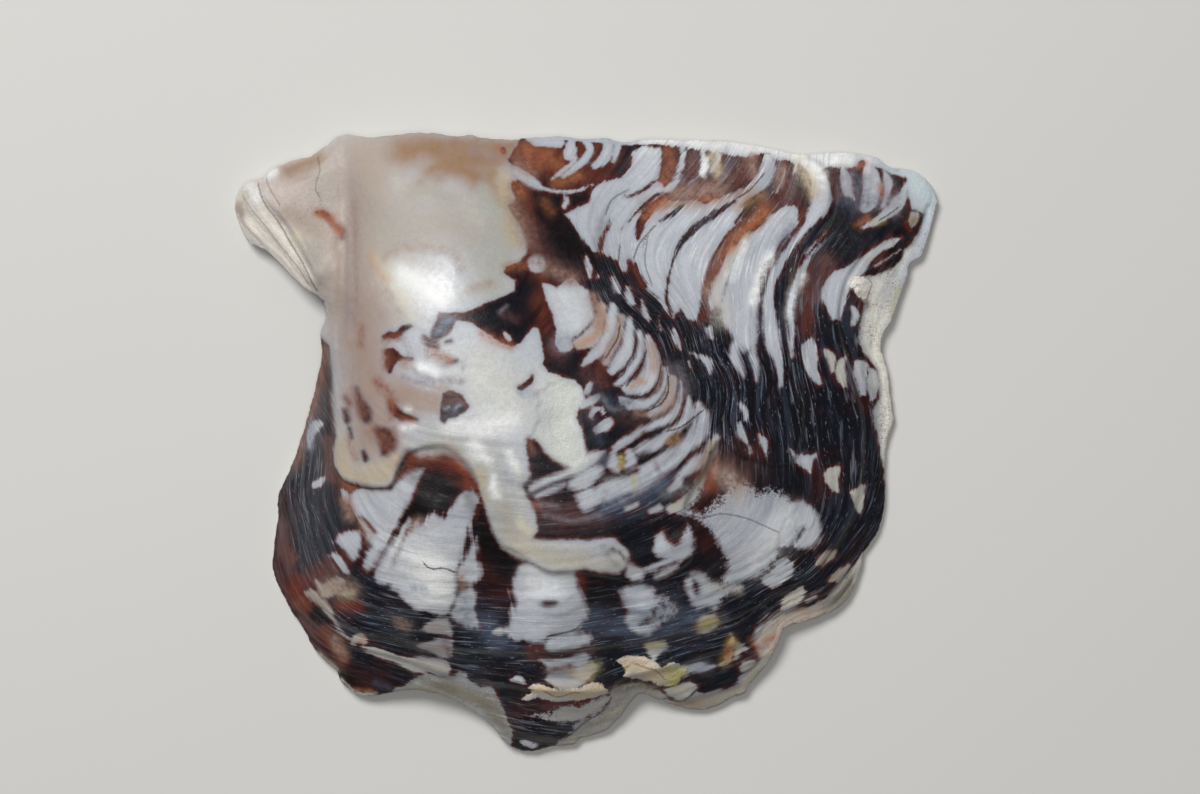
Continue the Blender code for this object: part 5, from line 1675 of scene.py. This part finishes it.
def make_valve(sizes, palette):
    """The valve's mesh: a fine outer grid and a coarser inner one, joined by the wall of the rim."""
    mesh = bmesh.new()
    outer_border = add_face_grid(mesh, CELLS_ALONG, CELLS_DOWN, 1.0)
    inner_border = add_face_grid(mesh, CELLS_ALONG // INNER_SHARE, CELLS_DOWN // INNER_SHARE, -1.0)
    inner_faces = {face for face in mesh.faces if face.verts[0].co.z < 0}
    bmesh.ops.subdivide_edges(mesh, edges=list(inner_border), cuts=INNER_SHARE - 1)
    inner_border = {edge for edge in mesh.edges if edge.is_boundary and edge.verts[0].co.z < 0}
    wall = bmesh.ops.bridge_loops(mesh, edges=list(outer_border | inner_border))["edges"]
    upright = [edge for edge in wall if edge.verts[0].co.z != edge.verts[1].co.z]
    bmesh.ops.subdivide_edges(mesh, edges=upright, cuts=2)
    for face in mesh.faces:
        face.smooth = True
        face.material_index = int(face in inner_faces)
    valve = Valve(np.array([vertex.co[:] for vertex in mesh.verts]), sizes, palette)
    for vertex, place in zip(mesh.verts, valve.points()):
        vertex.co = place
    bmesh.ops.recalc_face_normals(mesh, faces=mesh.faces)
    bmesh.ops.triangulate(mesh, faces=mesh.faces)
    data = bpy.data.meshes.new(VALVE_NAME)
    mesh.to_mesh(data)
    mesh.free()
    for name, kind, field, values in valve.attributes():
        data.attributes.new(name, kind, "POINT").data.foreach_set(field, values.ravel())
    data.set_sharp_from_angle(angle=math.radians(SHARP_ANGLE))
    return bpy.data.objects.new(VALVE_NAME, data)


class Paint:
    """Adds nodes to one material. Places are in millimetres, and densities in cells to the millimetre."""

    def __init__(self, name):
        self.material = bpy.data.materials.new(name)
        self.material.use_nodes = True
        self.tree = self.material.node_tree
        self.surface = self.tree.nodes["Principled BSDF"]

    def node(self, kind, sockets, **settings):
        made = self.tree.nodes.new(kind)
        for name, value in settings.items():
            setattr(made, name, value)
        for name, value in sockets.items():
            self.plug(made.inputs[name], value)
        return made

    def plug(self, socket, value):
        if isinstance(value, bpy.types.NodeSocket):
            self.tree.links.new(value, socket)
        else:
            socket.default_value = value

    def attribute(self, name, output="Vector"):
        return self.node("ShaderNodeAttribute", {}, attribute_name=name).outputs[output]

    def parts(self, vector):
        return self.node("ShaderNodeSeparateXYZ", {"Vector": vector}).outputs

    def millimetres(self):
        place = self.node("ShaderNodeTexCoord", {}).outputs["Object"]
        return self.node("ShaderNodeMapping", {"Vector": place, "Scale": (1000.0, 1000.0, 1000.0)}).outputs[0]

    def noise(self, place, density, detail=2.0, roughness=0.5):
        scaled = self.node("ShaderNodeMapping", {"Vector": place, "Scale": density}).outputs[0]
        sockets = {"Vector": scaled, "Scale": 1.0, "Detail": detail, "Roughness": roughness}
        return self.node("ShaderNodeTexNoise", sockets).outputs[0]

    def fit(self, value, low, high, to_low=0.0, to_high=1.0, soft=False):
        """Takes a value from one range to another, and keeps it there."""
        sockets = {"Value": value, "From Min": low, "From Max": high, "To Min": to_low, "To Max": to_high}
        kind = "SMOOTHSTEP" if soft else "LINEAR"
        return self.node("ShaderNodeMapRange", sockets, interpolation_type=kind).outputs[0]

    def math(self, operation, first, second):
        return self.node("ShaderNodeMath", {0: first, 1: second}, operation=operation).outputs[0]

    def add(self, *values):
        total = values[0]
        for value in values[1:]:
            total = self.math("ADD", total, value)
        return total

    def times(self, first, second):
        return self.math("MULTIPLY", first, second)

    def mix(self, share, first, second, blend="MIX"):
        sockets = {0: share, 6: first, 7: second}
        return self.node("ShaderNodeMix", sockets, data_type="RGBA", blend_type=blend).outputs[2]

    def bump(self, height, depth, under=None):
        """Roughens the surface with this height, 0 to 1, over this depth in millimetres."""
        sockets = {"Height": height, "Distance": depth * MM, "Strength": 1.0}
        if under:
            sockets["Normal"] = under
        return self.node("ShaderNodeBump", sockets).outputs[0]

    def finish(self, **sockets):
        for name, value in sockets.items():
            self.plug(self.surface.inputs[name.replace("_", " ").title().replace("Ior", "IOR")], value)
        return self.material


def solid(colour_value):
    """The colour with a full alpha, as a colour socket takes it."""
    return (*colour_value, 1.0)


def outer_material(sizes, palette):
    """Polished, mottled prismatic layer with its pale and dark bands and its chalky crust."""
    paint = Paint("mottled_outer_layer")
    place = paint.millimetres()
    growth = paint.attribute("growth")
    fan = paint.attribute("fan")
    pale_depth, crust_depth, combed = paint.parts(paint.attribute("marks"))
    striae, glint, blur = paint.parts(paint.attribute("surface"))
    margin_depth, dull, dusty = paint.parts(paint.attribute("finish"))
    speck = paint.noise(place, (7.0, 7.0, 7.0), 2.0)
    fine = paint.noise(growth, (5.5, 0.4, 0.4), 3.0)
    middle = paint.noise(growth, (1.8, 0.25, 0.25), 2.0)
    mottle = paint.noise(place, (2.4, 2.4, 2.4), 3.0, 0.6)
    cloud = paint.noise(place, (0.5, 0.5, 0.5), 3.0, 0.6)
    ragged = paint.add(paint.fit(fine, 0.3, 0.7, -0.9, 0.9), paint.fit(middle, 0.3, 0.7, -1.5, 1.5))
    rays = paint.noise(fan, (2.6, 0.14, 0.14), 3.0)
    smear = paint.times(paint.fit(rays, 0.3, 0.7, -7.0, 7.0), combed)
    dust = paint.add(paint.fit(speck, 0.35, 0.65, -2.5, 2.5), paint.fit(mottle, 0.3, 0.7, -4.0, 4.0))
    dust = paint.times(dust, dusty)
    nibbled = paint.fit(mottle, 0.3, 0.7, -0.7, 0.7)
    depth = paint.add(pale_depth, smear, dust, paint.times(ragged, striae), nibbled)
    edge = paint.fit(paint.add(blur, paint.times(dusty, 0.35)), 0.0, 1.0, 1.3, 7.0)
    is_pale = paint.fit(depth, paint.times(edge, -1.0), edge, soft=True)

    dark = paint.mix(paint.fit(middle, 0.35, 0.5, 0.6, 0.0), paint.attribute("dark_tint", "Color"),
                     solid(palette.brown_black))
    dark = paint.mix(paint.fit(cloud, 0.48, 0.66, 0.0, 0.3), dark, solid(palette.dark_red))
    warmth = paint.fit(glint, 0.2, 0.8, 1.0, 0.45)
    worn_edge = paint.times(paint.fit(depth, -4.5, -0.8), paint.fit(cloud, 0.38, 0.6, 0.15, 0.8))
    worn_edge = paint.times(worn_edge, warmth)
    dark = paint.mix(worn_edge, dark, solid(palette.red_brown))
    thin_edge = paint.times(paint.fit(depth, -1.8, -0.3), paint.fit(mottle, 0.4, 0.6, 0.0, 0.6))
    thin_edge = paint.times(thin_edge, warmth)
    dark = paint.mix(thin_edge, dark, solid(palette.rust))
    painted_sparkle = paint.noise(growth, (9.0, 2.2, 2.2), 1.0)
    # Slate and blue-grey lines are the dark layer's own streaks; the silver lines and the lilac-white sparkle
    # dashes are painted glints
    for lines, low, high, most, line_colour in (
        (middle, 0.53, 0.64, 0.5, palette.slate),
        (fine, 0.56, 0.64, 0.4, palette.blue_grey),
        (fine, 0.63, 0.71, 0.5, palette.silver),
        (painted_sparkle, 0.68, 0.74, 0.4, palette.lilac_white),
    ):
        cover = paint.times(paint.fit(lines, low, high, 0.0, most), glint)
        dark = paint.mix(cover, dark, solid(line_colour))

    pale = paint.mix(paint.fit(depth, 0.3, 5.0, 0.4, 0.0), paint.attribute("pale_tint", "Color"),
                     solid(palette.blue_grey))
    hairline = paint.fit(paint.noise(growth, (3.4, 0.12, 0.12), 2.0), 0.56, 0.72, 0.0, 0.4)
    pale = paint.mix(paint.times(hairline, striae), pale, solid(palette.blue_grey))
    veil = paint.fit(paint.noise(growth, (0.7, 0.16, 0.16), 3.0), 0.48, 0.68, 0.0, 0.35)
    pale = paint.mix(paint.times(veil, striae), pale, solid(palette.blue_grey))
    # Painted highlights: bright white streaks along the growth lines where the glint mask is strong
    painted_shine = paint.times(paint.fit(fine, 0.55, 0.67, 0.0, 0.6), glint)
    pale = paint.mix(painted_shine, pale, solid(palette.bright_white))
    pale = paint.mix(paint.fit(cloud, 0.35, 0.7, 0.0, 0.2), pale, solid(palette.pinkish_grey))
    grains = paint.times(paint.fit(speck, 0.42, 0.6, 0.5, 0.0), dusty)
    pale = paint.mix(grains, pale, solid(palette.shade_grey))
    flecks = paint.fit(paint.add(speck, mottle), 0.8, 1.2, 0.0, 0.22)
    pale = paint.mix(flecks, pale, solid(palette.shade_grey))
    pits = paint.times(paint.fit(speck, 0.30, 0.39, 0.5, 0.0), dull)
    pale = paint.mix(pits, pale, solid(palette.dark_olive))
    dirt = paint.times(paint.fit(speck, 0.54, 0.66, 0.0, 0.7), paint.fit(margin_depth, -1.0, 1.5))
    dirt = paint.times(dirt, paint.fit(cloud, 0.42, 0.6, 0.1, 1.0))
    pale = paint.mix(dirt, pale, solid(palette.dark_olive))
    crust = paint.mix(paint.fit(speck, 0.28, 0.42, 0.5, 0.0), paint.attribute("pale_tint", "Color"),
                      solid(palette.fawn))
    is_crust = paint.fit(paint.add(crust_depth, paint.fit(mottle, 0.3, 0.7, -1.4, 1.4)), -0.5, 0.8)
    base = paint.mix(is_pale, dark, pale)
    # Glazes: stains, and a few painted highlights and a painted shadow line, laid over both layers
    glazing = paint.node("ShaderNodeAttribute", {}, attribute_name="glaze")
    cover = paint.times(glazing.outputs["Alpha"], paint.fit(mottle, 0.35, 0.65, 0.6, 1.3))
    base = paint.mix(cover, base, glazing.outputs["Color"])
    base = paint.mix(is_crust, base, crust)
    # Cracks and seams darken the colour here, and so do the painted shadow lines under ledges
    line_gap, line_darkness, rise = paint.parts(paint.attribute("seams_and_shadows"))
    line_gap = paint.math("ABSOLUTE", paint.add(line_gap, paint.fit(speck, 0.3, 0.7, -0.5, 0.5)), 0.0)
    seam = paint.times(paint.fit(line_gap, 0.4, 1.3, 1.0, 0.0), line_darkness)
    base = paint.mix(seam, base, solid(palette.seam))
    layers = paint.noise(place, (0.25, 0.25, 6.0), 3.0, 0.6)
    wall = paint.mix(paint.fit(layers, 0.38, 0.5), solid(palette.fawn), solid(palette.cream_grey))
    wall = paint.mix(paint.fit(layers, 0.52, 0.66), wall, solid(palette.rim_cream))
    base = paint.mix(paint.fit(paint.add(rise, paint.times(layers, 0.3)), 0.7, 1.0, 0.9, 0.0), base, wall)

    polish = paint.add(paint.fit(mottle, 0.3, 0.7, sizes.roughness - 0.06, sizes.roughness + 0.12),
                       paint.times(is_crust, 0.5), paint.times(is_pale, 0.05), paint.times(dull, 0.28))
    ridges = paint.times(paint.noise(growth, (3.0, 0.2, 0.2), 4.0, 0.6), striae)
    normal = paint.bump(ridges, 0.05)
    normal = paint.bump(cloud, 0.07, normal)
    normal = paint.bump(paint.noise(place, (5.0, 5.0, 9.0), 3.0, 0.6), 0.02, normal)
    rough = paint.math("MAXIMUM", is_crust, paint.times(dull, 0.6))
    normal = paint.bump(paint.times(paint.add(speck, mottle), rough), 0.07, normal)
    normal = paint.bump(paint.times(seam, -1.0), 0.05, normal)
    return paint.finish(base_color=base, roughness=polish, normal=normal, coat_weight=0.06,
                        coat_roughness=0.18, specular_ior_level=0.27)


def inner_material(palette):
    """Nacre inside, a dull dark border towards the rim, the muscle scar and the chalky hinge plate."""
    paint = Paint("nacre_inner_layer")
    place = paint.millimetres()
    growth = paint.attribute("growth")
    border, scar, from_hinge = paint.parts(paint.attribute("inner"))
    pink_green = paint.noise(growth, (0.55, 0.08, 0.08), 2.0)
    nacre = paint.mix(paint.fit(pink_green, 0.38, 0.6), NACRE_GREY, NACRE_GREEN)
    pinker = paint.fit(paint.noise(place, (0.22, 0.22, 0.22)), 0.45, 0.65, 0.0, 0.6)
    nacre = paint.mix(pinker, nacre, NACRE_PINK)
    nacre = paint.mix(paint.fit(scar, -4.0, 4.0, 0.0, 0.45), nacre, SCAR_GREY)
    bands = paint.noise(growth, (1.4, 0.1, 0.1), 3.0)
    rim = paint.mix(paint.fit(bands, 0.36, 0.6), solid(palette.dark_plum), solid(palette.margin_grey))
    ragged_border = paint.add(border, paint.fit(bands, 0.3, 0.7, -4.0, 4.0))
    inside = paint.mix(paint.fit(ragged_border, -3.0, 3.0), rim, nacre)
    plate = paint.fit(from_hinge, HINGE_PLATE - 6.0, HINGE_PLATE + 4.0, 0.8, 0.0)
    inside = paint.mix(plate, inside, solid(palette.cream_grey))
    polish = paint.add(paint.fit(border, -3.0, 3.0, 0.45, 0.22), paint.times(plate, 0.3))
    normal = paint.bump(paint.noise(growth, (2.4, 0.15, 0.15), 3.0), 0.05)
    return paint.finish(base_color=inside, roughness=polish, normal=normal, coat_weight=0.3,
                        coat_roughness=0.1)


class SHELL_OT_add_valve(bpy.types.Operator):
    """Model the valve with its relief and markings, and dress it with its two materials."""

    bl_idname = "pearl_shell.add_valve"
    bl_label = "Add valve"

    def execute(self, context):
        sizes, palette = context.scene.pearl_shell_sizes, context.scene.pearl_shell_palette
        valve = make_valve(sizes, palette)
        valve.data.materials.append(outer_material(sizes, palette))
        valve.data.materials.append(inner_material(palette))
        context.scene.collection.objects.link(valve)
        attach(valve, "root")
        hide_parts("shell")
        return {"FINISHED"}


def aim(thing, place, target):
    """Puts a lamp at the place and turns it to the target."""
    thing.location = place
    thing.rotation_euler = (Vector(target) - Vector(place)).to_track_quat("-Z", "Y").to_euler()


def add_soft_light(context, name, place, size, power):
    light = bpy.data.lights.new(name, "AREA")
    light.shape = "DISK"
    light.size = size
    light.energy = power
    lamp = bpy.data.objects.new(name, light)
    aim(lamp, place, (0.0, 0.0, 0.0))
    context.scene.collection.objects.link(lamp)


class SHELL_OT_add_stage(bpy.types.Operator):
    """Lay the floor, hang the soft lights and set up the camera."""

    bl_idname = "pearl_shell.add_stage"
    bl_label = "Add stage"

    def execute(self, context):
        stage = context.scene.pearl_shell_stage
        mesh = bmesh.new()
        bmesh.ops.create_grid(mesh, x_segments=1, y_segments=1, size=FLOOR_SIZE)
        data = bpy.data.meshes.new("floor")
        mesh.to_mesh(data)
        mesh.free()
        floor = bpy.data.objects.new("floor", data)
        paint = Paint("pale_floor")
        data.materials.append(paint.finish(base_color=solid(stage.floor), roughness=0.8))
        context.scene.collection.objects.link(floor)

        add_soft_light(context, "main_light", *MAIN_LIGHT, stage.key_power)
        add_soft_light(context, "overhead_light", *OVERHEAD_LIGHT, stage.fill_power)
        world = bpy.data.worlds.new("studio")
        world.use_nodes = True
        world.node_tree.nodes["Background"].inputs["Color"].default_value = (1.0, 1.0, 1.0, 1.0)
        world.node_tree.nodes["Background"].inputs["Strength"].default_value = stage.sky
        context.scene.world = world
        context.scene.view_settings.view_transform = "Standard"

        lens = bpy.data.cameras.new("camera")
        lens.lens = stage.focal_length
        lens.sensor_width = SENSOR_WIDTH
        lens.clip_start = NEAREST_SEEN
        camera = bpy.data.objects.new("camera", lens)
        middle = (FRAME_CENTRE_PIXEL - CENTRE_PIXEL) * SCALE * np.array((1, -1))
        distance = FRAME_WIDTH_PIXELS * SCALE * lens.lens / lens.sensor_width
        camera.location = (*middle, distance + FOCUS_HEIGHT)
        context.scene.collection.objects.link(camera)
        context.scene.camera = camera
        return {"FINISHED"}


class SHELL_PT_sidebar(bpy.types.Panel):
    """The valve's operators, sizes and colours."""

    bl_label = "Pearl oyster valve"
    bl_idname = "SHELL_PT_sidebar"
    bl_space_type = "VIEW_3D"
    bl_region_type = "UI"
    bl_category = "Shell"

    def draw(self, context):
        for operator, group in PANEL_ROWS:
            box = self.layout.box()
            box.operator(operator.bl_idname)
            for settings in group:
                for name in getattr(context.scene, settings).bl_rna.properties.keys():
                    if name not in ("rna_type", "name"):
                        box.prop(getattr(context.scene, settings), name)


SETTINGS = {
    "pearl_shell_sizes": ShellSizes,
    "pearl_shell_palette": ShellPalette,
    "pearl_shell_stage": StageSettings,
}
PANEL_ROWS = [
    (SHELL_OT_add_valve, ("pearl_shell_sizes", "pearl_shell_palette")),
    (SHELL_OT_add_stage, ("pearl_shell_stage",)),
]
CLASSES = (*SETTINGS.values(), SHELL_OT_add_valve, SHELL_OT_add_stage, SHELL_PT_sidebar)


def register():
    for kind in CLASSES:
        bpy.utils.register_class(kind)
    for name, kind in SETTINGS.items():
        setattr(bpy.types.Scene, name, bpy.props.PointerProperty(type=kind))


def unregister():
    for name in SETTINGS:
        delattr(bpy.types.Scene, name)
    for kind in reversed(CLASSES):
        bpy.utils.unregister_class(kind)


def main():
    register()
    bpy.ops.pearl_shell.add_valve()
    bpy.ops.pearl_shell.add_stage()


if __name__ == "__main__":
    main()
